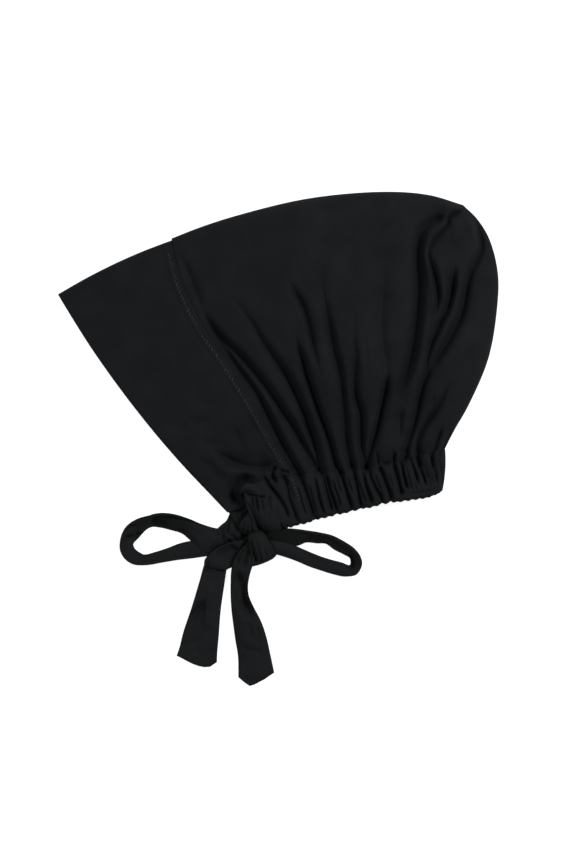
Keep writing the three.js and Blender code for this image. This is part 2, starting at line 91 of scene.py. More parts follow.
# %% [markdown]
# ## Camera, table and light
# The picture looks straight down with a long lens, so the camera does too, with the
# frame's Y to the top. Two soft lamps, a strong one to the right and a weaker one to the
# left, and an even white surround stand for a light tent: black cloth needs broad light,
# because only the slow change of light over its folds shows their shape. The table is
# bright enough to turn pure white.

# %% Camera
VIEW = (576, 864)
CAMERA_HEIGHT, CLOTH_LEVEL, SENSOR = 1.6, 0.01, 36
middle = (spot(VIEW[0] / 2, VIEW[1] / 2) + shift) / PER_METRE
view_height = VIEW[1] * GRID / PER_METRE

bpy.ops.object.camera_add(location=(middle[0], middle[1], CAMERA_HEIGHT))
camera = bpy.context.object
camera.data.sensor_fit = "VERTICAL"
camera.data.sensor_height = SENSOR
camera.data.lens = SENSOR * (CAMERA_HEIGHT - CLOTH_LEVEL) / view_height
bpy.context.scene.camera = camera
print("lens", round(camera.data.lens, 1), "mm over", round(view_height, 3), "m of table")

# %% Table
TABLE_SIZE, TABLE_GREY, TABLE_GLOW = 4, 0.2, 0.9


def plain_material(name, finish):
    """A material whose shader has the given values, with its node tree and its shader."""
    material = bpy.data.materials.new(name)
    material.use_nodes = True
    shader = material.node_tree.nodes["Principled BSDF"]
    for socket, value in finish.items():
        shader.inputs[socket].default_value = value
    return material, material.node_tree, shader


bpy.ops.mesh.primitive_plane_add(size=TABLE_SIZE)
table = bpy.context.object
table.name = "table_top"
white, _, _ = plain_material("white_table", {
    "Base Color": (TABLE_GREY, TABLE_GREY, TABLE_GREY, 1),
    "Roughness": 0.9,
    "Specular IOR Level": 0.1,
    "Emission Color": (1, 1, 1, 1),
    "Emission Strength": TABLE_GLOW,
})
table.data.materials.append(white)
print("table", TABLE_SIZE, "m wide")

# %% Lamps and surround
SURROUND_LIGHT = 0.38


def lamp(name, place, size, watts):
    """A square soft lamp that looks at the middle of the cap."""
    bpy.ops.object.light_add(type="AREA", location=place)
    placed = bpy.context.object
    placed.name = name
    placed.data.size = size
    placed.data.energy = watts
    aim = Vector((middle[0], middle[1], 0)) - Vector(place)
    placed.rotation_euler = aim.to_track_quat("-Z", "Y").to_euler()
    print(name, watts, "W")


lamp("tent_key", (0.98, 0.46, 1.2), 0.6, 34)
lamp("tent_left", (-1.0, 0.45, 1.2), 0.7, 15)
surround = bpy.data.worlds.new("surround")
surround.use_nodes = True
sky = surround.node_tree.nodes["Background"]
sky.inputs["Color"].default_value = (1, 1, 1, 1)
sky.inputs["Strength"].default_value = SURROUND_LIGHT
bpy.context.scene.world = surround
bpy.context.scene.view_settings.view_transform = "Standard"

# %% [markdown]
# ## Smooth lines
# Every seam and edge of the pattern is a smooth line through a few chosen points. A
# spline that passes through its points, with its pull set by the gaps between them,
# bends like sewn cloth and never overshoots. Read by its length, it gives evenly spaced
# points, which keeps the cloth's grid even.

# %% Lines through points
def smooth_line(points, steps=24, place=2):
    """Close points on a curve through the given ones; the first columns are the place."""
    p = np.asarray(points, float)
    p = np.vstack([2 * p[0] - p[1], p, 2 * p[-1] - p[-2]])
    gap = np.maximum(np.linalg.norm(np.diff(p[:, :place], axis=0), axis=1), 1e-6) ** 0.5
    t = np.linspace(0, 1, steps, endpoint=False)[:, None]
    parts = []
    for i in range(1, len(p) - 2):
        a, b, c, d = p[i - 1:i + 3]
        before, here, after = gap[i - 1:i + 2]
        leave = here * ((b - a) / before - (c - a) / (before + here) + (c - b) / here)
        reach = here * ((c - b) / here - (d - b) / (here + after) + (d - c) / after)
        bend = 3 * (c - b) - 2 * leave - reach
        parts.append(b + leave * t + bend * t**2 + (2 * (b - c) + leave + reach) * t**3)
    return np.vstack([*parts, p[-2][None]])


def by_length(line, place=2):
    """A function from a share of the line's length to its point."""
    run = np.linalg.norm(np.diff(line[:, :place], axis=0), axis=1)
    share = np.concatenate([[0], np.cumsum(run)]) / run.sum()
    columns = range(line.shape[1])
    return lambda s: np.stack([np.interp(s, share, line[:, k]) for k in columns], -1)


def edge(start, end, rows, bulge):
    """An edge that bulges to the left of its straight line, by rows of two shares."""
    start, end, rows = np.asarray(start), np.asarray(end), np.asarray(rows)
    line = end - start
    left = np.array([-line[1], line[0]]) / np.hypot(*line)
    points = start + np.outer(rows[:, 0], line) + np.outer(rows[:, 1] * bulge, left)
    return by_length(smooth_line(points))


quarter = smooth_line([(0, 1), (0.7, 0.7), (1, 0)])
print("a line through 3 points is read at", len(quarter), "places")

# %% [markdown]
# ## The pattern's edges
# Each edge leaves its straight line by a bulge. A row gives how far along the edge a
# point is, and which share of the bulge it has there. The panel has two lower edges: the
# one on the table, and the near one, which the casing has drawn up into an arch.

# %% Edges of the pattern
PARABOLA = [(0, 0), (0.25, 0.75), (0.5, 1), (0.75, 0.75), (1, 0)]
SEAM_ROWS = [
    (0, 0), (0.1, 0.2), (0.31, 0.35), (0.52, 0.67), (0.64, 1), (0.83, 0.87), (1, 0)]
RIDGE_ROWS = [
    (0, 0.07), (0.1, 0.37), (0.23, 0.66), (0.48, 0.99), (0.74, 0.89), (0.89, 0.55), (1, 0)]
BACK_ROWS = [
    (0, 0), (0.08, 0.2), (0.18, 0.48), (0.38, 0.88), (0.58, 1), (0.73, 0.96),
    (0.87, 0.69), (0.95, 0.35), (1, 0)]
FOOT_ROWS = [(0, 0), (0.22, 0.95), (0.4, 0.95), (0.6, 0.6), (1, 0)]
NEAR_FOOT_ROWS = [
    (0, 0), (0.1, -0.2), (0.2, -0.5), (0.28, -0.6), (0.36, -0.2), (0.46, 0.6),
    (0.595, 1), (0.75, 0.75), (1, 0)]

seam_edge = edge(seam_foot, seam_top, SEAM_ROWS, 8)
crown_ridge = edge(seam_top, crown_tip, RIDGE_ROWS, 16.8)
neck_edge = edge(seam_foot, neck_back, PARABOLA, -3.3)
back_edge = edge(neck_back, crown_tip, BACK_ROWS, -27.5)
panel_ridge = edge(tip, seam_top, PARABOLA, 2.2)
face_edge = edge(face_corner, tip, PARABOLA, 5.6)
panel_foot = edge(face_corner, seam_foot, FOOT_ROWS, 9.8)
panel_near_foot = edge(face_corner, seam_foot, NEAR_FOOT_ROWS, 5.9)
print("neck line", NECK_RUN, "mm, ridge", round(np.hypot(*(crown_tip - seam_top))), "mm")

# %% [markdown]
# ## Where a point of the cloth lies
# A piece of the cap is a sheet with two directions: across, from front to back, and up,
# from the neck to the ridge. Its outline comes from its four edges, blended so that each
# edge is met exactly. The upper wall stands over air, highest in the crown; the lower
# wall lies flat on the table and turns up in a round fold where it meets the upper one.

# %% Plan of the pieces
def pull(line, start, end, share):
    """How far an edge lies off its straight line."""
    start, end = np.asarray(start), np.asarray(end)
    return line(share) - (start + (end - start) * share[..., None])


def crown_plan(across, up):
    low, top = neck_edge(across), crown_ridge(across)
    place = low + (top - low) * up[..., None]
    place = place + pull(seam_edge, seam_foot, seam_top, up) * ((1 - across) ** 2)[..., None]
    return place + pull(back_edge, neck_back, crown_tip, up) * (across**3)[..., None]


def panel_plan(across, up, foot=panel_foot):
    front, back = face_edge(up), seam_edge(up)
    place = front + (back - front) * across[..., None]
    place = place + pull(foot, face_corner, seam_foot, across) * ((1 - up) ** 4)[..., None]
    return place + pull(panel_ridge, tip, seam_top, across) * (up**3)[..., None]


def eased(share):
    """A share from 0 to 1 that starts and ends softly."""
    share = np.clip(share, 0, 1)
    return share * share * (3 - 2 * share)


def mixed(low, high, share):
    return low + (high - low) * share


print("the seam's foot and top in plan:", crown_plan(np.zeros(2), np.array([0.0, 1.0])).round(1))

# %% Heights of the near wall
CROWN_LOFT, SEAM_LOFT, NECK_MOUTH, FACE_MOUTH, CORNER_MOUTH = 27, 17, 12, 15, 5
RIDGE_HEIGHT, TIP_HEIGHT, CORNER_LIFT, CORNER_REACH = 7, 4, 3.2, 30
LOFT_BY = 0.45


def crown_rise(across, up):
    over = np.sqrt(1 - np.clip(up, 0, 1) ** 5) * np.sqrt(1 - np.clip(across, 0, 1) ** 6)
    from_neck = mixed(NECK_MOUTH / CROWN_LOFT, 1, eased(up / LOFT_BY))
    from_seam = mixed(SEAM_LOFT / CROWN_LOFT, 1, eased(across / LOFT_BY))
    return CROWN_LOFT * over * from_neck * from_seam


def panel_rise(across, up):
    face = mixed(CORNER_MOUTH, FACE_MOUTH, eased(up / LOFT_BY)) * np.sqrt(1 - up**5)
    return mixed(face, crown_rise(np.zeros_like(up), up), eased(across))


def corner_lift(place):
    to_corner = np.linalg.norm(place - face_corner, axis=-1)
    return CORNER_LIFT * eased(1 - to_corner / CORNER_REACH)


print("the near wall stands up to", RIDGE_HEIGHT + CROWN_LOFT, "mm over the table")


# %% Heights of the far wall
def turned(place, line_point, radius):
    """1 on the flat of the far wall, and less, in a quarter circle, to 0 at its fold."""
    inside = np.clip(1 - np.linalg.norm(place - line_point, axis=-1) / radius, 0, 1)
    return np.sqrt(1 - inside**2)


def crown_far(across, up):
    place = crown_plan(across, up)
    over_top = turned(place, crown_ridge(across), RIDGE_HEIGHT)
    round_back = turned(place, back_edge(up), RIDGE_HEIGHT)
    height = RIDGE_HEIGHT * (1 - over_top * round_back)
    return np.concatenate([place, height[..., None]], -1)


def panel_far(across, up):
    place = panel_plan(across, up)
    ridge = mixed(TIP_HEIGHT, RIDGE_HEIGHT, eased(across))
    turn = turned(place, panel_plan(across, np.ones_like(up)), ridge)
    height = corner_lift(place) + ridge * (1 - turn)
    return np.concatenate([place, height[..., None]], -1)


print("the walls meet at", RIDGE_HEIGHT, "mm along the ridge and", TIP_HEIGHT, "mm at the tip")

# %% [markdown]
# ## Folds are lines with a profile
# Gathered jersey falls into soft puffs with sharp valleys between them. A valley is
# drawn as a line on the cloth with a depth and a width; beside it the cloth often rolls
# up in a lip, and a line with a negative depth is a ridge instead. Reading each point's
# distance to the nearest part of the line turns the line into a fold. Modelling this by
# hand would be sculpting; lines keep every fold where the picture shows it and can be
# corrected one number at a time.

# %% Distance to a line
def beside(place, line):
    """For every place: its distance to the line, its side, and its share of the way."""
    flat = place.reshape(-1, 2)
    run = np.diff(line, axis=0, append=2 * line[-1:] - line[-2:-1])
    best = np.full(len(flat), np.inf)
    index = np.zeros(len(flat), int)
    for k, point in enumerate(line):
        distance = ((flat - point) ** 2).sum(1)
        closer = distance < best
        best[closer] = distance[closer]
        index[closer] = k
    offset = flat - line[index]
    side = np.sign(run[index, 0] * offset[:, 1] - run[index, 1] * offset[:, 0])
    along = (offset * run[index]).sum(1) / ((run[index] ** 2).sum(1) + 1e-9)
    past = np.clip(along, -0.5, 0.5) ** 2 * (run[index] ** 2).sum(1)
    aside = np.sqrt(np.maximum(best - past, 0))
    shape = place.shape[:-1]
    return aside.reshape(shape), side.reshape(shape), (index / (len(line) - 1)).reshape(shape)


middle_up, _, _ = beside(np.array([[1.0, 2.0]]), np.array([[0.0, 0.0], [4.0, 0.0]]))
print("a place 2 mm over a line is", round(float(middle_up[0]), 2), "mm from it")


# %% Fold profile
LIP_AWAY, LIP_WIDTH = 2.2, 1.7
LEAST_SOFT, MOST_SOFT, SOFT_WIDTH = 0.1, 0.38, 3.4


def faded(share, start, end):
    """The strength of a fold along its line: it may grow from one end and die at the other."""
    strength = np.ones_like(share)
    if start:
        strength = strength * eased((share + 0.02) / start)
    if end:
        strength = strength * eased((1.02 - share) / end)
    return strength


def valley_profile(aside, narrow, width):
    """A sharp valley with a rounded foot, inside a softer and wider one."""
    sharp = np.exp(0.4 - np.sqrt((aside / narrow) ** 2 + 0.16))
    soft = np.clip(0.32 * (width - 0.45), LEAST_SOFT, MOST_SOFT)
    return (1 - soft) * sharp + soft * np.exp(-((aside / (SOFT_WIDTH * narrow)) ** 1.5))


def folded(place, folds):
    """How far the cloth sinks (negative) or rises at each place, in millimetres.
    A fold is (points, depth, width, lip, fade at the start, fade at the end), and one
    with a negative depth is a ridge."""
    flat = place.reshape(-1, 2)
    sunk, raised = np.zeros(len(flat)), np.zeros(len(flat))
    for points, depth, width, lip, start, end in folds:
        line = smooth_line(points, 10)
        reach = 8 * width + 2
        close = np.all((flat > line.min(0) - reach) & (flat < line.max(0) + reach), axis=1)
        if not close.any():
            continue
        aside, side, share = beside(flat[close], line)
        strength = faded(share, start, end)
        if depth < 0:
            raised[close] -= depth * strength * np.exp(-((aside / width) ** 2))
            continue
        valley = valley_profile(aside, width * (0.7 + 0.3 * strength), width)
        sunk[close] += (depth * strength * valley) ** 2
        if lip:
            on_lip_side = aside * np.where(side == np.sign(lip), 1, -1)
            beyond = (on_lip_side - LIP_AWAY * width) / (LIP_WIDTH * width)
            raised[close] += abs(lip) * strength * np.exp(-beyond**2)
    return (raised - np.sqrt(sunk)).reshape(place.shape[:-1])


def crease(points, depth, width, lip=0, start=0.3, end=0.3):
    """A fold whose points are places of the grid. A positive lip rises on its run's left."""
    return (spot(*np.array(points, float).T), depth, width, lip, start, end)


trial = [crease([(0, 0), (0, 20)], 5, 1.5, 0, 0, 0)]
print("a 5 mm valley sinks", round(float(folded(spot([0], [10]), trial)[0]), 2), "mm at its line")

# %% [markdown]
# ## The crown's gathers
# The crown is cut a third longer than the casing it is sewn to, so it rises from the neck
# in a fan of folds. Each long one is placed by the points of its valley, from its faint
# end down to the neck. At the back the end of the crown's seam is drawn in, and a roll
# of cloth hangs from it between two deep valleys, with a flatter patch inside.

# %% Folds of the fan
FAN_FOLDS = [
    crease([(205, 322), (214, 331), (222, 343), (232, 359), (245, 377), (258, 395), (267, 413),
        (276, 431), (285, 449), (295, 467), (300, 476)], 7.3, 1.72, 0.9, 0.35, 0),
    crease([(200, 306), (207, 319), (214, 329), (225, 342), (240, 356), (256, 374), (270, 392),
        (282, 410), (294, 428), (304, 446), (314, 463), (319, 472)], 7.8, 1.72, 0.9, 0.3, 0.1),
    crease([(223, 287), (238, 305), (251, 323), (262, 341), (275, 359), (287, 377), (296, 395),
        (304, 413), (310, 431), (316, 449), (318.5, 460), (320, 470)], 8.4, 1.84, 0.8, 0.55, 0),
    crease([(284, 280), (292, 290), (298, 299), (304, 311), (308, 324), (311, 338), (314, 352),
        (318, 368), (323, 380)], 5.2, 1.49, -1.0, 0.3, 0.4),
    crease([(295, 334), (298, 347), (303, 362), (306, 374), (312, 392), (318, 410), (325, 428),
        (331, 446), (336, 464), (340, 473)], 7.6, 1.44, 0.9, 0.3, 0),
    crease([(323, 268), (321, 285), (324, 302), (328, 322), (331, 338), (334, 352), (338, 367),
        (341, 383), (343, 401), (345, 419), (346, 437), (349, 455), (352, 466)],
        6.9, 1.9, 0.8, 0.4, 0),
    crease([(357, 292), (355, 314), (353, 336), (355, 360), (354, 383), (356, 400), (360, 412),
        (361, 428), (361.5, 446), (363.5, 458), (366, 467)], 7.6, 1.8, 0.6, 0.6, 0),
    crease([(361, 326), (364, 338), (365, 352), (366, 368), (367, 386)], 1.8, 1.38, 0, 0.4, 0.5),
    crease([(383, 238), (383, 262), (382, 288), (380, 314), (381, 340), (383, 355), (384.5, 368),
        (386, 384)], 5.6, 3.6, 0, 0.5, 0.3),
    crease([(387, 368), (386.5, 378), (384.5, 390), (382, 402), (379, 416), (375.5, 432),
        (371, 448), (368, 460), (366, 468)], 8.1, 1.7, -1.3, 0.3, 0),
]
print(len(FAN_FOLDS), "folds in the fan")

# %% Folds at the back
BACK_FOLDS = [
    crease([(446, 217), (436, 220.5), (427, 226), (421, 234), (418.5, 246), (417.5, 262),
        (418.5, 282), (417.5, 304), (415.5, 326), (413, 344), (409, 362), (403, 380), (396, 396),
        (389, 412)], 9.0, 2.3, 2.6, 0.1, 0.3),
    crease([(466, 208), (456, 214), (448.5, 219), (446.5, 226), (440, 234), (431, 244),
        (427.5, 256), (430, 268), (433.5, 280), (436, 292), (436, 304), (432, 318), (430, 330)],
        5.6, 1.32, -1.6, 0.12, 0.25),
    crease([(451, 262), (453, 272), (452, 284), (450, 297), (446, 311), (440, 323), (434, 336),
        (429, 349), (425.5, 362), (423, 376)], 6.9, 1.49, 1.6, 0.3, 0.1),
    crease([(470, 214), (477, 224), (480, 236), (480.5, 248), (476, 260), (469, 273), (465.5, 287),
        (463, 301), (459, 317), (450, 335), (441, 350), (431, 366), (423, 380), (419, 394),
        (416.5, 408), (412.5, 426), (408, 441), (404.5, 453), (404, 458)], 8.2, 2.3, -2.8, 0.12, 0),
    crease([(465, 283), (463, 300), (458, 316), (449, 332), (440, 346)], 4.6, 3.2, 0, 0.3, 0.3),
    crease([(443, 322), (436, 326), (431, 330)], 2.6, 1.26, 0, 0.3, 0.3),
    crease([(428, 243), (436, 241), (443, 243)], 2.2, 1.15, 0, 0.3, 0.4),
    crease([(462, 240), (460, 250), (452, 255), (442, 255)], 1.3, 1.38, 0, 0.4, 0.4),
    crease([(446, 372), (446, 384), (442, 398), (435, 410), (427, 422), (420, 434), (417, 446),
        (418.5, 457), (421, 466)], 6.7, 1.61, 0.8, 0.5, 0),
    crease([(430, 394), (432.5, 403), (431, 413)], 2.6, 1.38, 0, 0.4, 0.4),
    crease([(442, 426), (439, 435), (435.5, 446), (433.5, 456), (434.5, 466)],
        4.9, 1.38, 0.5, 0.3, 0),
    crease([(454, 427), (448, 436), (443.5, 446), (441, 456)], 4.0, 1.38, 0.4, 0.4, 0),
    crease([(456, 350), (451, 362), (449, 374)], 1.3, 2.76, 0, 0.4, 0.4),
]
print(len(BACK_FOLDS), "folds at the back")

# %% Soft folds and ridges
SOFT_FOLDS = [
    crease([(320, 262), (320, 284), (324, 306)], 3.0, 3.8, 0, 0.4, 0.3),
    crease([(180, 254), (187, 270), (193, 286), (199, 300), (204, 312)], 3.2, 2.3, 0.5, 0.3, 0.3),
    crease([(182, 249), (200, 242), (222, 237)], 2.0, 3.6, 0, 0.3, 0.5),
    crease([(271, 284), (274, 300), (272, 318)], 0.9, 3.45, 0, 0.4, 0.4),
    crease([(257, 270), (257, 288), (254, 304)], 0.9, 3.45, 0, 0.4, 0.4),
    crease([(296, 266), (301, 280), (305, 292)], 1.1, 2.53, 0, 0.4, 0.4),
    crease([(397, 290), (396, 320), (393, 345)], 1.1, 3.45, 0, 0.4, 0.4),
    crease([(376, 448), (377, 458), (378.5, 466)], 3.5, 1.03, 0, 0.4, 0.1),
    crease([(377, 460), (384, 463.5), (391, 461.5), (394.5, 455), (399, 451), (405, 451.5),
        (408, 457)], 2.9, 1.03, -0.8, 0.2, 0.1),
    crease([(400, 404), (399.5, 420), (399, 438), (396, 450)], 4.6, 2.6, 0, 0.4, 0.3),
    crease([(350, 228), (351, 258), (354, 288)], 2.6, 4.6, 0, 0.4, 0.3),
    crease([(400, 216), (420, 213), (438, 208)], 1.4, 2.6, 0, 0.4, 0.3),
    crease([(300, 232), (318, 222), (340, 216)], 1.0, 4.0, 0, 0.4, 0.4),
    crease([(226, 300), (216, 290), (206, 268)], 1.2, 4.0, 0, 0.4, 0.4),
    crease([(436, 256), (438, 272), (441, 290), (440, 310)], -3.0, 3.6, 0, 0.3, 0.3),
    crease([(453, 224), (456, 236), (450, 246)], -2.2, 3.4, 0, 0.3, 0.3),
    crease([(440, 209), (450, 207.5), (460, 207)], -1.6, 2.4, 0, 0.3, 0.3),
    crease([(434, 226), (440, 225.5), (445, 224)], 2.4, 1.6, 0, 0.3, 0.2),
    crease([(436, 318), (440, 326), (438, 334)], 2.4, 2.2, 0, 0.3, 0.3),
    crease([(462, 322), (468, 350), (470, 380), (462, 408)], 1.1, 4.6, 0, 0.4, 0.4),
]
LONG_FOLDS = FAN_FOLDS + BACK_FOLDS + SOFT_FOLDS
print(len(SOFT_FOLDS), "soft folds and ridges")

# %% [markdown]
# ## Pleats of the neck
# The casing's elastic takes up the crown's fullness in tight pleats. Those under a long
# valley simply run on from it; the others start at the seam line. Nearly all drift to
# the back as they run down, some split in two, and some fade before the hem.

# %% Pleats in sight
PLEATS = [
    crease([(277, 465), (281, 473), (286, 482), (288, 490), (290, 500), (294, 511), (298, 522)],
        3.9, 0.97, 0.3, 0.3, 0),
    crease([(299, 470), (302, 480), (306, 491), (310, 503), (314, 517)], 5.4, 1.1, 0.4, 0, 0),
    crease([(307, 482), (310, 491), (313, 502), (316, 513)], 2.6, 0.79, 0, 0.3, 0.1),
    crease([(312, 471), (315, 480), (318, 492), (321, 504), (324, 515)], 3.0, 0.79, 0.2, 0.3, 0.1),
    crease([(320, 470), (324, 482), (326.5, 492), (330, 505), (332, 512)], 4.6, 0.97, 0, 0, 0.1),
    crease([(323, 471), (327.5, 481), (330, 491), (333.5, 501), (336.5, 511)],
        5.0, 0.97, 0.4, 0.2, 0),
    crease([(335, 470), (337, 480), (340, 490), (343, 500)], 2.4, 0.7, 0, 0.2, 0.4),
    crease([(340, 472), (343, 481), (346, 491), (349, 501), (352, 512)], 5.4, 1.1, 0.4, 0, 0),
    crease([(352, 465), (354, 473), (356, 482), (358, 493), (361, 508)], 5.6, 1.1, 0.4, 0, 0),
    crease([(357, 478), (360, 487), (363, 496), (366, 505)], 2.8, 0.79, 0, 0.3, 0.2),
    crease([(364, 466), (363.5, 474), (365.5, 484), (369, 494), (372, 504)],
        4.6, 0.88, 0.3, 0, 0.1),
    crease([(367, 466), (370.5, 476), (375, 487), (380, 496), (382, 502)], 5.2, 0.97, 0.3, 0, 0),
    crease([(374, 472), (378, 484), (383, 494)], 2.6, 0.7, 0, 0.3, 0.3),
    crease([(379, 466), (382, 473), (385.5, 483), (389.5, 494), (391, 501)],
        5.2, 0.97, 0.4, 0.1, 0),
    crease([(387, 470), (390, 480), (393, 490)], 1.9, 0.7, 0, 0.3, 0.3),
    crease([(394, 455), (394, 464), (396.5, 474), (399.5, 485), (402, 496)], 5.6, 1.1, 0.4, 0, 0.1),
    crease([(400, 460), (402, 469), (404.5, 479), (407.5, 491)], 5.4, 0.97, 0.4, 0.1, 0.15),
    crease([(409, 457), (413, 465), (416, 475), (418, 488)], 4.3, 0.88, 0.3, 0.1, 0.3),
    crease([(419, 458), (421, 468), (424, 478), (427, 489)], 4.3, 0.79, 0.2, 0, 0.3),
    crease([(424, 464), (427, 473), (430, 485)], 3.3, 0.7, 0.2, 0.2, 0.3),
    crease([(433.5, 457), (434.5, 466), (436.5, 476), (438, 488)], 4.3, 0.88, 0.2, 0, 0.3),
    crease([(438, 456), (440.5, 466), (442, 478), (442.5, 488)], 3.4, 0.79, 0.2, 0.1, 0.2),
    crease([(286, 486), (292, 498), (300, 514)], 1.0, 1.2, 0, 0.3, 0.3),
    crease([(345, 476), (350, 488), (354, 500)], 1.3, 0.88, 0, 0.3, 0.3),
    crease([(392, 497.5), (404, 494.5), (418, 493), (432, 490.5), (440, 487)],
        1.4, 0.7, 0, 0.4, 0.1),
    crease([(326, 492), (329, 501), (332, 509)], 2.1, 0.62, 0, 0.3, 0.1),
    crease([(317, 490), (319, 499), (322, 509)], 2.4, 0.7, 0, 0.3, 0.1),
    crease([(361, 478), (366, 489), (370, 500)], 2.2, 0.7, 0, 0.3, 0.2),
    crease([(413, 472), (415, 482), (416, 491)], 1.9, 0.62, 0, 0.3, 0.2),
    crease([(429, 462), (431.5, 474), (433, 486)], 2.2, 0.62, 0, 0.3, 0.2),
    crease([(304, 492), (308, 503), (312, 514)], 1.9, 0.7, 0, 0.4, 0.2),
    crease([(296, 480), (299, 492), (303, 506), (306, 516)], 2.2, 0.7, 0, 0.3, 0.1),
    crease([(288, 478), (291, 490), (295, 502)], 2.0, 0.7, 0, 0.3, 0.3),
    crease([(331, 474), (334, 486), (338, 498), (340, 508)], 2.6, 0.7, 0, 0.3, 0.1),
    crease([(346, 472), (349, 484), (353, 496)], 2.4, 0.7, 0, 0.3, 0.3),
    crease([(372, 470), (375, 480), (378, 489)], 2.2, 0.7, 0, 0.3, 0.3),
    crease([(384, 472), (388, 484), (393, 497)], 2.4, 0.7, 0, 0.3, 0.3),
    crease([(404, 462), (407, 472), (410, 484), (412, 494)], 2.6, 0.7, 0, 0.3, 0.3),
    crease([(412, 462), (415, 472), (417, 482)], 2.2, 0.7, 0, 0.3, 0.3),
    crease([(424, 458), (427.5, 468), (430, 480), (431, 490)], 2.4, 0.7, 0, 0.3, 0.3),
]
print(len(PLEATS), "pleats in sight")

# %% Creases of the panel
PANEL_CREASES = [
    crease([(238, 502), (234, 497), (235, 490), (239, 484), (245, 480), (252, 478), (260, 479)],
        10.5, 3.1, 2.2, 0.1, 0.4),
    crease([(213, 447), (221, 455), (231, 461), (244, 466), (258, 468), (269, 465.5), (277, 461)],
        6.4, 2.4, -1.8, 0.35, 0.3),
    crease([(231, 498), (236, 500.5), (241, 500), (246, 497)], 6.0, 2.2, 0, 0.3, 0.1),
    crease([(263, 474), (266, 480), (271, 488), (279, 498), (285, 508), (289, 519)],
        3.6, 1.0, 0.6, 0.2, 0.1),
    crease([(240, 474), (250, 470.5), (262, 472), (268, 477)], -1.4, 1.8, 0, 0.3, 0.3),
    crease([(278, 466), (273.5, 470), (272.5, 475), (274.5, 480), (278, 483)],
        5.6, 1.0, 1.0, 0.2, 0.3),
    crease([(280, 469), (285, 472), (291, 472.5)], 3.8, 1.0, 0.9, 0.3, 0.3),
    crease([(281, 459), (286, 463), (290, 468)], 2.6, 1.0, 0.6, 0.3, 0.3),
    crease([(283, 476), (286, 480), (288, 486)], 3.4, 0.9, 0.5, 0.3, 0.2),
    crease([(267, 466), (269, 471), (268, 476)], 2.2, 1.0, 0.6, 0.3, 0.3),
    crease([(208, 470), (218, 476), (226, 484), (230, 492)], 2.2, 2.4, 0.6, 0.4, 0.3),
    crease([(196, 461), (208, 464), (222, 472)], 1.5, 2.4, 0.3, 0.4, 0.4),
    crease([(188, 402), (200, 401), (214, 404)], 1.1, 2.2, 0.2, 0.4, 0.4),
    crease([(186, 420), (200, 422), (214, 421)], 1.4, 2.4, 0.4, 0.4, 0.4),
    crease([(168, 426), (182, 429), (196, 430)], 1.0, 2.2, 0.2, 0.4, 0.4),
    crease([(196, 440), (216, 446), (236, 446)], 1.3, 2.4, 0.3, 0.4, 0.4),
    crease([(232, 424), (238, 438), (246, 456)], 1.3, 2.0, 0.3, 0.4, 0.4),
    crease([(82, 292), (96, 318), (120, 350)], 0.9, 5.0, 0, 0.4, 0.4),
    crease([(150, 262), (158, 300), (176, 350), (206, 398)], 0.5, 6.0, 0, 0.4, 0.4),
]
FOLDS = LONG_FOLDS + PLEATS + PANEL_CREASES
print(len(PANEL_CREASES), "creases in the panel,", len(FOLDS), "folds in all")

# %% [markdown]
# ## Laying the crown
# The crown is one sheet that runs up the near side, over the ridge and down the far
# side, with the back fold welded. Its lower edge carries the same pleats as the casing,
# so the two read as one cloth. Solidify then gives it its real thickness, to the inside.

# %% Sheets from grids
WELD = 2e-6
made = {}


def sheet_object(name, points, uv, faces):
    """A mesh object from millimetre points, welded where points meet."""
    mesh = bpy.data.meshes.new(name)
    mesh.from_pydata((points + [*shift, 0]) / PER_METRE, [], faces)
    layer = mesh.uv_layers.new(name="cloth")
    corner = np.zeros(len(mesh.loops), int)
    mesh.loops.foreach_get("vertex_index", corner)
    layer.data.foreach_set("uv", (uv[corner] / PER_METRE).ravel())
    work = bmesh.new()
    work.from_mesh(mesh)
    bmesh.ops.remove_doubles(work, verts=work.verts, dist=WELD)
    work.to_mesh(mesh)
    work.free()
    made[name] = bpy.data.objects.new(name, mesh)
    bpy.context.scene.collection.objects.link(made[name])
    return made[name]


def grid_faces(rows, columns):
    """The squares of a grid, as four point numbers each."""
    i, j = np.meshgrid(np.arange(columns - 1), np.arange(rows - 1))
    a = (j * columns + i).ravel()
    return np.stack([a, a + 1, a + columns + 1, a + columns], -1)


def grid_measure(across, up):
    """The cloth's own measure, in millimetres, at every point of a grid."""
    return np.stack(np.meshgrid(across, up), -1).reshape(-1, 2)


def closer_at_ends(count, pull_in):
    """Steps from 0 to 1 that lie closer together at both ends."""
    steps = np.linspace(0, 1, count)
    return steps - pull_in * np.sin(2 * np.pi * steps) / (2 * np.pi)


print("a grid of 3 by 4 points has", len(grid_faces(3, 4)), "squares")


# %% Walls
SINGLE_WALL, DOUBLE_WALL = 1.2, 1.6


def smoothed(piece, angle):
    """Shades a piece smooth, but for creases sharper than the angle."""
    bpy.ops.object.select_all(action="DESELECT")
    piece.select_set(True)
    bpy.context.view_layer.objects.active = piece
    bpy.ops.object.shade_smooth_by_angle(angle=np.radians(angle))


def thicken(piece, wall):
    """Gives an open sheet its wall, towards its inside, and smooths its shading."""
    bpy.ops.object.select_all(action="DESELECT")
    piece.select_set(True)
    bpy.context.view_layer.objects.active = piece
    wall_maker = piece.modifiers.new("wall", "SOLIDIFY")
    wall_maker.thickness = wall / PER_METRE
    wall_maker.offset = -1
    bpy.ops.object.modifier_apply(modifier="wall")
    smoothed(piece, 50)
    print(piece.name, len(piece.data.polygons), "faces")


print("single cloth", SINGLE_WALL, "mm, double cloth", DOUBLE_WALL, "mm")

# %% Near wall of the crown
FREE_RISE = 9
OVER_SEAM, SEAM_STEEPNESS = 1.1, 50
NECK_PUFF, PUFF_REACH, CLEAR = 0.9, 0.1, 0.12


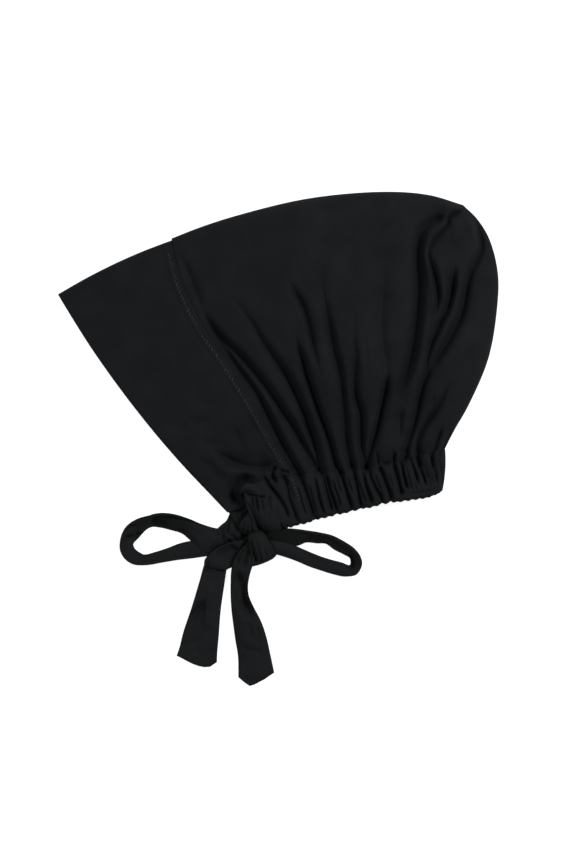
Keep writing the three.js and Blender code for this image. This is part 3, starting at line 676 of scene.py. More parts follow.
def freedom(rise):
    """How freely a fold may sink: less and less where the walls come together."""
    return np.sqrt(np.clip(rise / FREE_RISE, 0, 1))


def crown_near(across, up):
    """The near wall: a loft, with folds sunk in it, a step at the seam and a puff at the neck."""
    place = crown_plan(across, up)
    rise = crown_rise(across, up)
    height = RIDGE_HEIGHT + rise + folded(place, FOLDS) * freedom(rise)
    step = OVER_SEAM * (1 - np.exp(-across * SEAM_STEEPNESS))
    height = height + step * np.clip(rise / FREE_RISE, 0, 1) * eased(up / 0.06)
    puff = NECK_PUFF * np.sin(np.pi * np.clip(up / PUFF_REACH, 0, 1))
    height = height + puff * freedom(rise) + CLEAR
    return np.concatenate([place, height[..., None]], -1)


print("folds sink freely where the walls are", FREE_RISE, "mm apart or more")

# %% Grid of the crown
CROWN_COLUMNS, CROWN_ROWS, FAR_STEP = 320, 121, 5
CROWN_ACROSS, CROWN_UP = 190, 180
across = np.linspace(0, 1, CROWN_COLUMNS)
up = closer_at_ends(CROWN_ROWS, 0.5)
across_grid, up_grid = np.meshgrid(across, up)
near, far = crown_near(across_grid, up_grid), crown_far(across_grid, up_grid)
far[-1], far[:, -1] = near[-1], near[:, -1]
far_rows = np.arange(CROWN_ROWS - 1 - FAR_STEP, -1, -FAR_STEP)
crown_points = np.concatenate([near, far[far_rows]])
way_up = np.concatenate([up, 2 - up[far_rows]])
print("the crown's grid has", crown_points.shape[0], "rows of", crown_points.shape[1])

# %% The crown
faces = grid_faces(len(way_up), CROWN_COLUMNS).tolist()
last = CROWN_COLUMNS - 1
for k, row in enumerate(far_rows):
    low_row = (CROWN_ROWS + k) * CROWN_COLUMNS
    high_row = low_row - CROWN_COLUMNS
    fold = [(row + n) * CROWN_COLUMNS + last for n in range(1, FAR_STEP)]
    at_fold = (CROWN_ROWS - 1 + k) * (CROWN_COLUMNS - 1) + last - 1
    faces[at_fold] = [
        high_row + last - 1, high_row + last, *fold[::-1], low_row + last, low_row + last - 1]
crown_uv = grid_measure(across * CROWN_ACROSS, way_up * CROWN_UP)
crown = sheet_object("crown_cloth", crown_points.reshape(-1, 3), crown_uv, faces)
thicken(crown, SINGLE_WALL)

# %% [markdown]
# ## The front panel
# The panel is cut double and folded at the face edge, so it lies flatter and stiffer
# than the crown. Only faint creases cross it, except at the foot, where the casing draws
# it up: there its edge arches and rolls round the place where the tie comes out. Two
# lines of stitches hold the seam's allowance down, which raises a low welt beside it.
# The sheet runs on a little way under the crown, so that the seam shows no gap.

# %% Near wall of the panel
WELT, WELT_REACH, STITCH_GROOVE = 0.7, 7, 3.6
FACE_ROUND = 0.9
FOOT_DROP, FOOT_REACH, FOOT_END = 1.6, 0.02, 0.62


def panel_near(across, up):
    """The near wall, with a welt beside the seam and a rounded face edge."""
    place = panel_plan(across, up, panel_near_foot)
    ridge = mixed(TIP_HEIGHT, RIDGE_HEIGHT, eased(across))
    rise = panel_rise(across, up)
    height = ridge + corner_lift(place) + rise + folded(place, FOLDS) * freedom(rise)
    span = np.linalg.norm(seam_edge(up) - face_edge(up), axis=-1)
    to_seam, to_face = (1 - across) * span, across * span
    welt = WELT * eased((WELT_REACH - to_seam) / 2) * eased(to_seam / 1.2 + 0.2)
    welt = welt - 0.5 * np.exp(-(((to_seam - STITCH_GROOVE) / 0.8) ** 2))
    height = height + welt * np.clip(rise / 4, 0, 1)
    height = height - FACE_ROUND * np.exp(-to_face / FACE_ROUND)
    drop = FOOT_DROP * np.clip(1 - up / FOOT_REACH, 0, 1) ** 2
    height = height - drop * eased(across / 0.1) * eased((FOOT_END - across) / 0.2)
    return np.concatenate([place, height[..., None]], -1)


print("welt", WELT, "mm high and", WELT_REACH, "mm wide")

# %% The panel
PANEL_COLUMNS, PANEL_ROWS = 110, 110
PANEL_ACROSS, PANEL_UP = 90, 180
UNDER_CROWN, BELOW_CROWN = 2.0, -1.2
across = np.linspace(0, 1, PANEL_COLUMNS)
up = closer_at_ends(PANEL_ROWS, 0.6)
across_grid, up_grid = np.meshgrid(across, up)
near, far = panel_near(across_grid, up_grid), panel_far(across_grid, up_grid)
far[-1] = near[-1]
inward = crown_plan(np.full(PANEL_ROWS, 0.02), up) - seam_edge(up)
inward /= np.linalg.norm(inward, axis=1)[:, None]
allowance = np.concatenate([UNDER_CROWN * inward, np.full((PANEL_ROWS, 1), BELOW_CROWN)], 1)
near = np.concatenate([near, (near[:, -1] + allowance)[:, None]], 1)
far = np.concatenate([far, (far[:, -1] + allowance * [1, 1, -1])[:, None]], 1)
far[-1] = near[-1]
across = np.append(across, 1.03)
way_up = np.concatenate([up, 2 - up[-2::-1]])
panel_points = np.concatenate([near, far[-2::-1]]).reshape(-1, 3)
panel_uv = grid_measure(across * PANEL_ACROSS, way_up * PANEL_UP)
faces = grid_faces(len(way_up), len(across))
panel = sheet_object("panel_cloth", panel_points, panel_uv, faces)
thicken(panel, DOUBLE_WALL)

# %% [markdown]
# ## The elastic casing
# A narrow elastic runs inside a doubled band and draws it into tight pleats. Seen from
# the side the band is a ring: along the near side, round the back, and along the far
# side. Each pleat is a groove that drifts as it runs down, some only part of the way, and
# the lower edge waves with them. The band is closed all round, with a rounded hem.

# %% Line that the casing hangs from
RING_FRONT, RING_STEPS = -0.21, 500
foot_run = np.hypot(*(seam_foot - face_corner))


def ring_point(is_near, share):
    """Points of the ring's upper line; a share below 0 lies under the panel."""
    on_neck = np.clip(share, 0, 1)
    under = np.clip(1 + np.minimum(share, 0) * NECK_RUN / foot_run, 0, 1)
    zero = np.zeros_like(share)
    in_crown = share >= 0
    plan = np.where(in_crown[:, None], crown_plan(on_neck, zero), panel_plan(under, zero))
    if is_near:
        panel_foot_height = mixed(TIP_HEIGHT, RIDGE_HEIGHT, eased(under)) + corner_lift(plan)
        under_panel = panel_foot_height + panel_rise(under, zero)
        height = np.where(in_crown, RIDGE_HEIGHT + crown_rise(on_neck, zero), under_panel)
    else:
        far_heights = crown_far(on_neck, zero)[:, 2], panel_far(under, zero)[:, 2]
        height = np.where(in_crown, *far_heights)
    return np.concatenate([plan, height[:, None]], -1)


shares = mixed(RING_FRONT, 1, 1 - (1 - np.linspace(0, 1, RING_STEPS)) ** 2)
ring = np.concatenate([ring_point(True, shares), ring_point(False, shares)[-2::-1]])
ring_share = np.concatenate([shares, shares[-2::-1]])
run = np.concatenate([[0], np.cumsum(np.linalg.norm(np.diff(ring, axis=0), axis=1))])
near_end, far_end = run[RING_STEPS - 1], run[-1]
print("the ring is", round(near_end), "mm long on the near side,", round(far_end), "in all")

# %% Columns round the ring
NEAR_COLUMNS, FAR_COLUMNS = 400, 150


def direction_down(share):
    """The way the pleats run down, as a unit vector, by the share along the neck."""
    turning = np.clip((share - RING_FRONT) / (1 - RING_FRONT), 0, 1) ** 0.6
    angle = np.radians(mixed(-64, -94, turning))
    return np.stack([np.cos(angle), np.sin(angle)], -1)


near_at = np.linspace(0, near_end, NEAR_COLUMNS)
at = np.concatenate([near_at, np.linspace(near_end, far_end, FAR_COLUMNS)[1:]])
BAND_COLUMNS = len(at)
ring_even = np.stack([np.interp(at, run, ring[:, k]) for k in range(3)], -1)
share_even = np.interp(at, run, ring_share)
in_sight = (at <= near_end).astype(float)
tangent = np.gradient(ring_even, at, axis=0)
down = np.concatenate([direction_down(share_even), np.zeros((BAND_COLUMNS, 1))], -1)
out = np.cross(down, tangent)
out /= np.linalg.norm(out, axis=1)[:, None]
loose = freedom(ring_even[:, 2] - RIDGE_HEIGHT) * in_sight
print(BAND_COLUMNS, "columns,", int(in_sight.sum()), "of them in sight")

# %% Lower edge of the band
BAND_HEIGHT, SHALLOWEST, DEEPEST = 27, 22, 33
HEM_SPOTS = [
    (230, 540), (262, 532), (288, 528), (296, 525), (308, 522), (320, 518), (332, 515),
    (344, 512.5), (356, 510), (368, 507), (380, 504), (392, 502), (404, 500), (416, 498.5),
    (428, 497), (440, 493.5), (460, 487)]
hem_line = spot(*np.array(HEM_SPOTS, float).T)
deep = np.full(BAND_COLUMNS, float(BAND_HEIGHT))
for _ in range(8):
    foot_at = (ring_even + down * deep[:, None])[:, :2]
    above_hem = foot_at[:, 1] - np.interp(foot_at[:, 0], hem_line[:, 0], hem_line[:, 1])
    deep += above_hem / -down[:, 1]
deep = np.clip(deep, SHALLOWEST, DEEPEST)
print("band", round(deep.min(), 1), "to", round(deep.max(), 1), "mm high")

# %% Pleats out of sight
uneven = np.random.default_rng(7)
under_pleats = []
place = near_end + 3
while place < far_end - 2:
    under_pleats.append((place, 0.4 + 0.6 * uneven.random()))
    place += 2.4 + 3.4 * uneven.random()


def sunken(lower):
    """How deep the pleats sink the band at one height, for every column."""
    sunk = -folded((ring_even + down * (deep * lower)[:, None])[:, :2], FOLDS) * loose
    for number, (centre, weight) in enumerate(under_pleats):
        wander = 0.6 * lower - 0.5 * np.sin(3 * lower + number * 1.7)
        aside = np.abs(at - centre + wander) / (0.62 + 0.3 * weight)
        sunk = np.maximum(sunk, 2.3 * weight * np.exp(-(aside**1.25)) * (1 - in_sight))
    return sunk


def scallops(sunk):
    """How far the lower edge is drawn up where a pleat meets it."""
    return 0.45 * np.clip(sunk, 0, 3) - 0.35 * np.sin(at * 1.1)


print(len(under_pleats), "pleats out of sight")

# %% Rows of the band
BAND_ROWS, INNER_ROWS, BAND_WALL = 34, 10, 2.6
BAND_STRETCH, BELLY, HEM_DEPTH = 1.6, 1.2, 1.2
TOP_TUCK, HEM_TURN, HEM_ROUND = 0.6, 1.5, 0.6
band, band_uv = [], []


def hang(reach, sink, measure):
    """Adds a row: how far down it hangs, how far in it lies, and its own measure."""
    band.append(ring_even + down * reach[:, None] - out * sink[:, None])
    band_uv.append(np.stack([at * BAND_STRETCH, measure], -1))


for lower in np.concatenate([[-0.03], np.linspace(0, 1, BAND_ROWS)]):
    depth = deep * lower
    sunk = sunken(lower)
    belly = BELLY * np.sin(np.pi * np.clip(lower, 0, 1)) ** 0.8
    sink = sunk * (1 - 0.45 * eased((lower - 0.86) / 0.14)) - belly
    sink = sink + HEM_TURN * eased((lower - 0.93) / 0.07) + (TOP_TUCK if lower < 0 else 0)
    hang(depth - scallops(sunk) * np.clip(lower, 0, 1) ** 3, sink, depth)
sunk = sunken(1)
hem_measure = np.full(BAND_COLUMNS, BAND_HEIGHT + HEM_TURN)
hang(deep + HEM_ROUND - scallops(sunk), 1.6 + 0.6 * sunk + HEM_DEPTH, hem_measure)
for lower in np.linspace(0.98, -0.03, INNER_ROWS):
    depth = deep * lower
    sink = BAND_WALL + HEM_DEPTH + sunken(lower)
    hang(depth - scallops(sunk) * np.clip(lower, 0, 1) ** 3, sink, 2 * BAND_HEIGHT - depth)
band.append(band[0])
band_uv.append(band_uv[-1])
band, band_uv = np.array(band), np.array(band_uv)
band[..., 2] = np.maximum(band[..., 2], 0.0)
print("the band has", len(band), "rows, down the outside and up the inside")

# %% The casing
faces = grid_faces(len(band), BAND_COLUMNS)[:, ::-1]
caps = []
for column in (0, BAND_COLUMNS - 1):
    loop = [k * BAND_COLUMNS + column for k in range(len(band) - 1)]
    for k in range((len(band) - 1) // 2 - 1):
        caps.append([loop[k], loop[k + 1], loop[-2 - k], loop[-1 - k]])
faces = np.concatenate([faces, np.array(caps)])
casing = sheet_object("casing_cloth", band.reshape(-1, 3), band_uv.reshape(-1, 2), faces)
work = bmesh.new()
work.from_mesh(casing.data)
bmesh.ops.holes_fill(work, edges=[e for e in work.edges if e.is_boundary])
bmesh.ops.recalc_face_normals(work, faces=work.faces)
work.to_mesh(casing.data)
work.free()
smoothed(casing, 60)
print("casing", len(PLEATS) + len(under_pleats), "pleats,", len(casing.data.polygons), "faces")

# %% [markdown]
# ## Strips for the ties
# A tie is a flat tube of jersey, turned so that its seam is inside. Knotted, it leans,
# folds and rolls, and no two places along it look alike. The plainest way to draw such a
# strip is to draw its two edges: rows of two points, each with its height, and how far
# the cloth bulges between them. The strip is laid between the edges, its folds are
# pressed in, and its rim is rounded.

# %% Parts of a strip
TIE_WALL = 1.7
RIM_SWELL, RIM_PLACE, RIM_SPREAD = 0.35, 0.86, 0.09


def lengthened(sheet, line, share, reach):
    """The sheet with its last rows drawn on, by a list of lengths from edge to edge."""
    reach = np.interp(share, np.linspace(0, 1, len(reach)), reach)
    ahead = line[-1, :3] - line[-6, :3]
    ahead /= np.linalg.norm(ahead)
    late = eased((np.arange(len(line)) / (len(line) - 1) - 0.6) / 0.4)
    return sheet + ahead * (late[:, None] * reach[None])[..., None]


def up_from(sheet):
    """The way up from every point of a sheet, square to the cloth."""
    way = np.cross(np.gradient(sheet, axis=0), np.gradient(sheet, axis=1))
    way /= np.linalg.norm(way, axis=-1)[..., None] + 1e-9
    return way * np.where(way[..., 2:3].mean() < 0, -1, 1)


def rippled(share, way):
    """Fine waves across a strip that come and go along it."""
    waves = np.sin(share[None] * 19 + 2 * np.sin(way[:, None] * 5))
    return waves * (0.4 + 0.6 * np.abs(np.cos(way[:, None] * 4)))


def turned_outward(mesh):
    work = bmesh.new()
    work.from_mesh(mesh)
    bmesh.ops.recalc_face_normals(work, faces=work.faces)
    if work.calc_volume(signed=True) < 0:
        bmesh.ops.reverse_faces(work, faces=work.faces)
    work.to_mesh(mesh)
    work.free()


def shaded_smooth(mesh):
    for polygon in mesh.polygons:
        polygon.use_smooth = True


print("tie wall", TIE_WALL, "mm, swollen by", RIM_SWELL, "at its rim")


# %% Strip between two edges
def strip(name, rows, folds=(), wall=TIE_WALL, end=None, ripple=0, columns=26, steps=9):
    """Rows of (right, down, height, right, down, height, bulge): one edge, the other edge.
    end is a list of how far the last row reaches on, in millimetres, from edge to edge."""
    rows = np.array(rows, float)
    first = np.concatenate([spot(rows[:, 0], rows[:, 1]), rows[:, 2:3]], -1)
    second = np.concatenate([spot(rows[:, 3], rows[:, 4]), rows[:, 5:6]], -1)
    table = np.concatenate([(first + second) / 2, first, second, rows[:, 6:7]], -1)
    line = smooth_line(table, steps, 3)
    first, second, bulge = line[:, 3:6], line[:, 6:9], line[:, 9]
    way = np.linspace(0, 1, len(line))
    even = np.linspace(0, 1, columns)
    share = 0.5 * (0.5 - 0.5 * np.cos(np.pi * even)) + 0.5 * even
    to_rim = np.abs(2 * share - 1)
    sheet = first[:, None] + (second - first)[:, None] * share[None, :, None]
    if end is not None:
        sheet = lengthened(sheet, line, share, end)
    height = bulge[:, None] * 4 * (share * (1 - share))[None]
    if len(folds):
        height = height + folded(sheet[..., :2], folds) * (1 - to_rim**5)[None]
    if ripple:
        height = height + ripple * rippled(share, way)
    up_way = up_from(sheet)
    centre = sheet + up_way * height[..., None]
    rim = np.sqrt(np.clip(1 - to_rim**7, 0, 1))
    close = np.sqrt(np.clip(1 - np.abs(2 * way - 1) ** 24, 0, 1))
    swell = 1 + RIM_SWELL * np.exp(-(((to_rim - RIM_PLACE) / RIM_SPREAD) ** 2))
    half = 0.5 * wall * close[:, None] * (rim * swell)[None]
    top, under = centre + up_way * half[..., None], centre - up_way * half[..., None]
    under[..., 2] = np.maximum(under[..., 2], 0)
    top[..., 2] = np.maximum(top[..., 2], under[..., 2] + 0.5 * (rim * close[:, None]))
    run = np.linalg.norm(np.diff(line[:, :3], axis=0), axis=1)
    length = np.concatenate([[0], np.cumsum(run)])
    wide = np.linalg.norm(second - first, axis=1)
    uv = np.stack([share[None] * wide[:, None], np.repeat(length[:, None], columns, 1)], -1)
    faces = grid_faces(len(line), columns)
    faces = np.concatenate([faces, faces[:, ::-1] + len(line) * columns])
    points = np.concatenate([top.reshape(-1, 3), under.reshape(-1, 3)])
    piece = sheet_object(name, points, np.concatenate([uv.reshape(-1, 2)] * 2), faces)
    turned_outward(piece.data)
    shaded_smooth(piece.data)
    piece["length"] = float(length[-1]) / PER_METRE
    piece["width"] = float(wide.mean()) / PER_METRE
    print(name, round(length[-1]), "mm long,", round(wide.mean()), "mm wide")


# %% [markdown]
# ## The roots of the ties
# The near tie leaves the casing under the arch of the panel, gathered at first, and
# spreads into a soft lobe before it dives into the knot. The far tie comes from under
# the panel's corner and passes behind. Small lips of cloth show where the casing's end
# is rolled round the tie.

# %% Near root
strip("near_root_cloth", [
    (248, 486, 13.5, 264, 480, 13.5, 1.0),
    (245, 491, 15.5, 267.5, 486, 15.5, 1.8),
    (244.5, 498, 16.5, 273, 493, 15.5, 2.4),
    (247, 506, 16.5, 280, 502, 14, 3.0),
    (249.5, 514, 15.5, 286, 511, 12, 3.4),
    (252.5, 522, 13, 289, 518, 9.5, 3.6),
    (255, 527, 9.5, 289.5, 524, 6.5, 3.0),
    (259, 531, 5.0, 287, 529.6, 3.5, 1.4),
], folds=[
    crease([(247, 502), (250, 508), (253, 514), (255.5, 520), (258, 526), (261, 533)],
        4.2, 1.0, -0.8, 0.2, 0),
    crease([(256, 494), (256.7, 503), (258, 515)], 3.0, 0.8, 0.5, 0.1, 0.4),
    crease([(252, 496), (252.5, 504), (254.5, 514)], 2.4, 0.7, 0.3, 0.1, 0.4),
    crease([(260.5, 495), (262, 504), (263.5, 518)], 2.2, 0.9, 0.4, 0.1, 0.5),
    crease([(270, 494), (269, 503), (272, 518)], 2.4, 1.1, 0.4, 0.3, 0.5),
    crease([(245.5, 492.5), (250, 494.8), (256, 495.6)], 3.8, 0.9, 0, 0.1, 0.3),
    crease([(258, 496), (261, 496.8), (266, 496)], 3.0, 0.9, 0, 0.3, 0.3),
    crease([(266, 498), (266.5, 508), (268, 522)], 1.4, 0.9, 0, 0.4, 0.4),
    crease([(276, 500), (278, 512), (279, 524)], 1.5, 1.3, 0, 0.4, 0.4),
], columns=80, steps=14)

# %% Lip and flap of the casing's end
strip("channel_lip_cloth", [
    (240.5, 491.5, 12.5, 242.5, 496, 11.5, 0.3),
    (241.6, 486.4, 15.6, 243.6, 492.6, 14, 1.6),
    (246, 483, 17.2, 246.5, 490.5, 15.6, 2.2),
    (253, 483.4, 17.4, 252, 491.5, 16.0, 2.2),
    (260, 484.4, 17.0, 258, 494, 16.2, 2.0),
    (266, 486.5, 15.6, 263, 495, 15.6, 1.2),
    (270, 490, 13.0, 267, 495, 13.4, 0.4),
], folds=[
    crease([(243, 489), (252, 486.5), (261, 489)], 0.9, 1.0),
    crease([(256, 484), (259, 488), (260, 493)], 1.4, 0.9, 0.3),
], columns=30, steps=9)
strip("corner_flap_cloth", [
    (228.5, 512.5, 8.2, 234, 522, 6.0, 0.3),
    (235, 505, 5.0, 238, 524, 7.2, 1.8),
    (241, 499, 3.6, 242, 523, 8, 2.8),
    (247, 497, 4.6, 247, 518, 8.6, 2.6),
    (253, 497, 6.0, 253, 513, 8.6, 1.6),
], folds=[
    crease([(236, 524), (242, 521), (247, 515), (250, 510)], 1.8, 1.2),
    crease([(234, 514), (242, 511), (249, 509)], 1.6, 1.0, -0.6),
], columns=28, steps=9)

# %% Far root
strip("far_root_cloth", [
    (236, 503, 2.5, 252, 508, 2.5, 0.5),
    (231, 510, 3.4, 247, 513, 4.6, 0.8),
    (228.5, 516, 4.2, 244, 520, 6.6, 1.2),
    (226, 521, 5.0, 241, 529, 8.2, 1.2),
    (220.5, 525.5, 5.6, 240.5, 536, 7.2, 1.0),
    (216, 530, 5.0, 240, 541, 3.4, 0.5),
], folds=[
    crease([(232, 514), (234, 521), (238, 528), (242, 536)], 2.4, 0.9, 0.6, 0.2, 0),
    crease([(229.5, 514), (229.5, 522), (227, 531)], 1.6, 0.7, 0.4, 0.1, 0.1),
    crease([(227, 518), (225, 526), (222, 533)], 1.4, 0.6, 0.3, 0.1, 0.1),
], ripple=0.2, columns=56, steps=12)

# %% [markdown]
# ## The knot
# A bow's knot is one tie wrapped once round the other. The wrap is a short band that
# stands over everything else; a petal of the near tie fans out above it, and a core of
# folded cloth, hardly seen, fills the middle so that no gap opens between the strips.

# %% Core and wrap
strip("knot_core_cloth", [
    (249, 492, 10.5, 264, 489, 10.5, 0.6),
    (244, 501, 8.4, 274, 500, 8.4, 1.0),
    (240, 513, 6.4, 274, 513, 6.0, 1.4),
    (238, 524, 4, 266, 522, 4, 1.6),
    (237, 534, 2.4, 267, 532, 2, 0.8),
    (240, 544, 2.4, 268, 541, 2, 1.6),
    (246, 552, 2.4, 269, 549, 2.4, 2.4),
    (252, 560, 2, 268, 554, 2, 1),
], wall=2.6, columns=30, steps=8)
strip("knot_wrap_cloth", [
    (251, 531.5, 5.0, 260, 530.5, 5.0, 0.6),
    (248.4, 534.5, 8.0, 263.5, 532.8, 7.6, 1.8),
    (247.8, 538.5, 10.6, 266.6, 536.6, 9.4, 2.8),
    (249.4, 545, 12.0, 269.6, 542.5, 9.8, 3.0),
    (251, 551.5, 11.0, 272.6, 547.5, 9.0, 2.4),
    (251.6, 557.5, 8.2, 275, 551.5, 6.4, 2.0),
    (251.6, 563, 4.8, 276.5, 555, 3.6, 1.4),
    (252.5, 567, 2.2, 273, 559, 2.2, 0.8),
], folds=[
    crease([(249.5, 541), (252, 547), (254, 554), (255.5, 562)], 4.2, 1.0, 0.9, 0.15, 0.1),
    crease([(253.5, 538), (256.5, 546), (259, 554), (261, 561)], 1.8, 0.9, 0.5, 0.3, 0.1),
    crease([(260, 540), (263, 548), (266, 557)], 1.0, 1.1, 0.2, 0.3, 0.1),
    crease([(264.5, 535), (268.5, 543), (272, 551)], 1.4, 0.9, 0.3, 0.2, 0.2),
    crease([(252, 562), (259, 560), (268, 556), (275, 553)], 1.4, 0.8, 0, 0.2, 0.2),
], columns=60, steps=12)

# %% Petal
strip("knot_petal_cloth", [
    (249, 510.5, 12.5, 251, 511, 12.8, 0.2),
    (246, 515, 13.2, 252.5, 516.5, 13.2, 1.4),
    (241.5, 520.5, 12.6, 254.5, 522, 12.6, 2.2),
    (239.5, 526, 10.8, 257, 527, 11.6, 2.4),
    (240.5, 531, 7.6, 259.5, 531.5, 8.6, 1.6),
    (243, 534, 4.5, 260, 534, 5.5, 0.5),
], folds=[
    crease([(248, 513), (245, 521), (243.5, 530)], 1.2, 0.7, 0.3, 0.2, 0.1),
    crease([(249, 514), (248, 522), (248, 531)], 1.4, 0.7, 0.3, 0.2, 0.1),
    crease([(250.5, 515), (251.5, 523), (252.5, 531)], 1.8, 0.7, 0.3, 0.2, 0.1),
], columns=50, steps=12)

# %% [markdown]
# ## Loops and tails
# The loops stand half on edge, their outer rim up, so the inside of the strip shows as a
# dark trough. The left one leaves the knot wide and flat. The tails lie flat on the
# table and keep their real ends: one cut on a slant, the other to a blunt point.

# %% Left loop
strip("loop_left_cloth", [
    (249, 535, 2.2, 249, 543, 2.2, 0.4),
    (238, 533, 2.6, 238, 543, 2.6, 0.6),
    (227, 530, 5.4, 229, 545, 4.6, 1.6),
    (214, 528, 6.0, 217, 553.5, 3.0, 1.8),
    (200, 523.5, 7.4, 201, 552, 2.4, 1.2),
    (190, 519, 9.8, 190.5, 541.5, 2.0, 0.8),
    (180, 515.7, 13.0, 182, 534.5, 1.6, -0.2),
    (166, 513.4, 15.6, 168, 530, 1.0, -0.6),
    (152, 515.2, 15.0, 152, 527.4, 1.0, -0.4),
    (138, 518.6, 11.0, 145.5, 530, 1.6, 1.0),
    (126.5, 526, 8.8, 138.5, 538, 1.6, 1.0),
    (120.6, 537, 8.0, 132.6, 544.6, 1.6, 0.4),
    (119.4, 549.6, 6.6, 134.5, 549.8, 1.6, 0.4),
    (123.8, 558.8, 5.6, 139, 553, 2, 0.2),
    (132.2, 564.8, 4.2, 144, 555, 2.2, 0.6),
    (146, 565.8, 3, 154, 552.6, 2.6, 0.8),
    (162, 563.2, 2.4, 167, 548.4, 3, 0.8),
    (178, 560.6, 2.2, 180, 543.5, 3, 0.8),
    (192, 559, 2, 193, 541, 3, 0.6),
    (206, 557, 2, 206, 541, 3, 0.6),
    (224, 555, 2.2, 224, 541, 3, 0.4),
], folds=[
    crease([(216.5, 527), (217, 533), (219, 539)], 2.6, 0.8, 0.5, 0.1, 0.4),
    crease([(221.5, 527), (222.5, 535), (224, 545)], 3.0, 0.8, 0.5, 0.1, 0.3),
    crease([(208, 529), (213, 534), (218, 540)], 1.0, 1.2, 0, 0.3, 0.4),
    crease([(232, 541), (225, 547.5), (217, 552), (206, 557)], 4.6, 1.8, 0, 0.1, 0.3),
    crease([(172, 520), (186, 526), (200, 534), (214, 540)], 1.2, 2.4, 0, 0.3, 0.4),
    crease([(151, 526), (156, 519.5), (170, 518), (185, 520.6), (198, 524.8), (208, 529)],
        2.4, 1.4, 0.3, 0.1, 0.3),
    crease([(151, 525), (160, 524.5), (171, 524)], 2.6, 3.0, 0, 0.1, 0.4),
    crease([(174, 530), (181, 531.5), (186, 535)], 1.6, 1.0, 0, 0.3, 0.3),
    crease([(124, 533), (128, 528), (136, 523.5)], 1.8, 0.8, -0.5, 0.3, 0.3),
    crease([(123, 536), (129, 538), (135, 536), (139, 531)], 2.8, 1.3, 0.7, 0.3, 0.2),
    crease([(137, 551), (131, 556), (129, 561)], 0.9, 1.0, 0.4, 0.3, 0.3),
    crease([(150, 564), (158, 558), (164, 552)], 0.8, 1.4, 0.3, 0.3, 0.3),
], columns=30, steps=9)

# %% Right loop
strip("loop_right_cloth", [
    (256, 531, 4.0, 258, 541, 0.5, -0.4),
    (270, 530.6, 6.4, 271, 541, 0.5, -0.6),
    (284, 528.6, 7.4, 286, 545, 0.5, -0.8),
    (296, 529.0, 10.6, 297.5, 546.5, 0.7, -0.6),
    (308, 530.6, 11.4, 306, 542.9, 1.0, 0.2),
    (320, 532.6, 12.0, 317, 543.6, 1.0, 0.4),
    (332, 535.4, 12.0, 326, 544.2, 1.0, 0.5),
    (344, 541.4, 11.4, 335, 550.2, 1.2, 0.6),
    (354.6, 548.8, 10.4, 344, 554.4, 1.4, 0.8),
    (360.8, 557.4, 8.8, 350, 558.6, 1.6, 1.0),
    (362, 566, 7.0, 350.8, 564.2, 1.8, 1.2),
    (357, 574.8, 5.6, 348.6, 566, 2.0, 1.2),
    (346, 577.2, 4.0, 342.6, 563.2, 2.2, 1.0),
    (334, 575.2, 2.8, 331.5, 560.2, 2.6, 0.9),
    (322, 571.6, 2.4, 321.5, 557, 3, 1.0),
    (309, 567.2, 2.4, 311, 552.8, 3.4, 1.1),
    (297, 562, 2.8, 301, 548.4, 4.4, 1.4),
    (286, 558, 3.2, 291, 544.2, 6.0, 1.8),
    (276, 555, 3.4, 280, 541.5, 7.0, 1.8),
    (264, 553, 3.4, 268, 540, 7.0, 1.2),
], folds=[
    crease([(298, 532), (308, 533.4), (320, 535.4), (331, 538.6), (342, 545), (352, 553)],
        1.3, 0.7, 0.4, 0.2, 0.3),
    crease([(302, 539), (314, 537.5), (326, 541), (334, 546)], 1.4, 1.2, 0, 0.3, 0.3),
    crease([(322, 563), (312, 559), (302, 555)], 1.4, 1.6, 0, 0.3, 0.4),
    crease([(346, 553), (351.5, 556.5), (353.6, 562), (352.4, 567.5), (345, 568.5)],
        2.8, 1.0, 0, 0.3, 0.3),
    crease([(296, 551), (314, 559), (332, 567)], 0.8, 1.3, 0.2, 0.3, 0.3),
    crease([(300, 557), (322, 567)], 0.4, 1.0, 0.2, 0.3, 0.3),
], columns=30, steps=9)

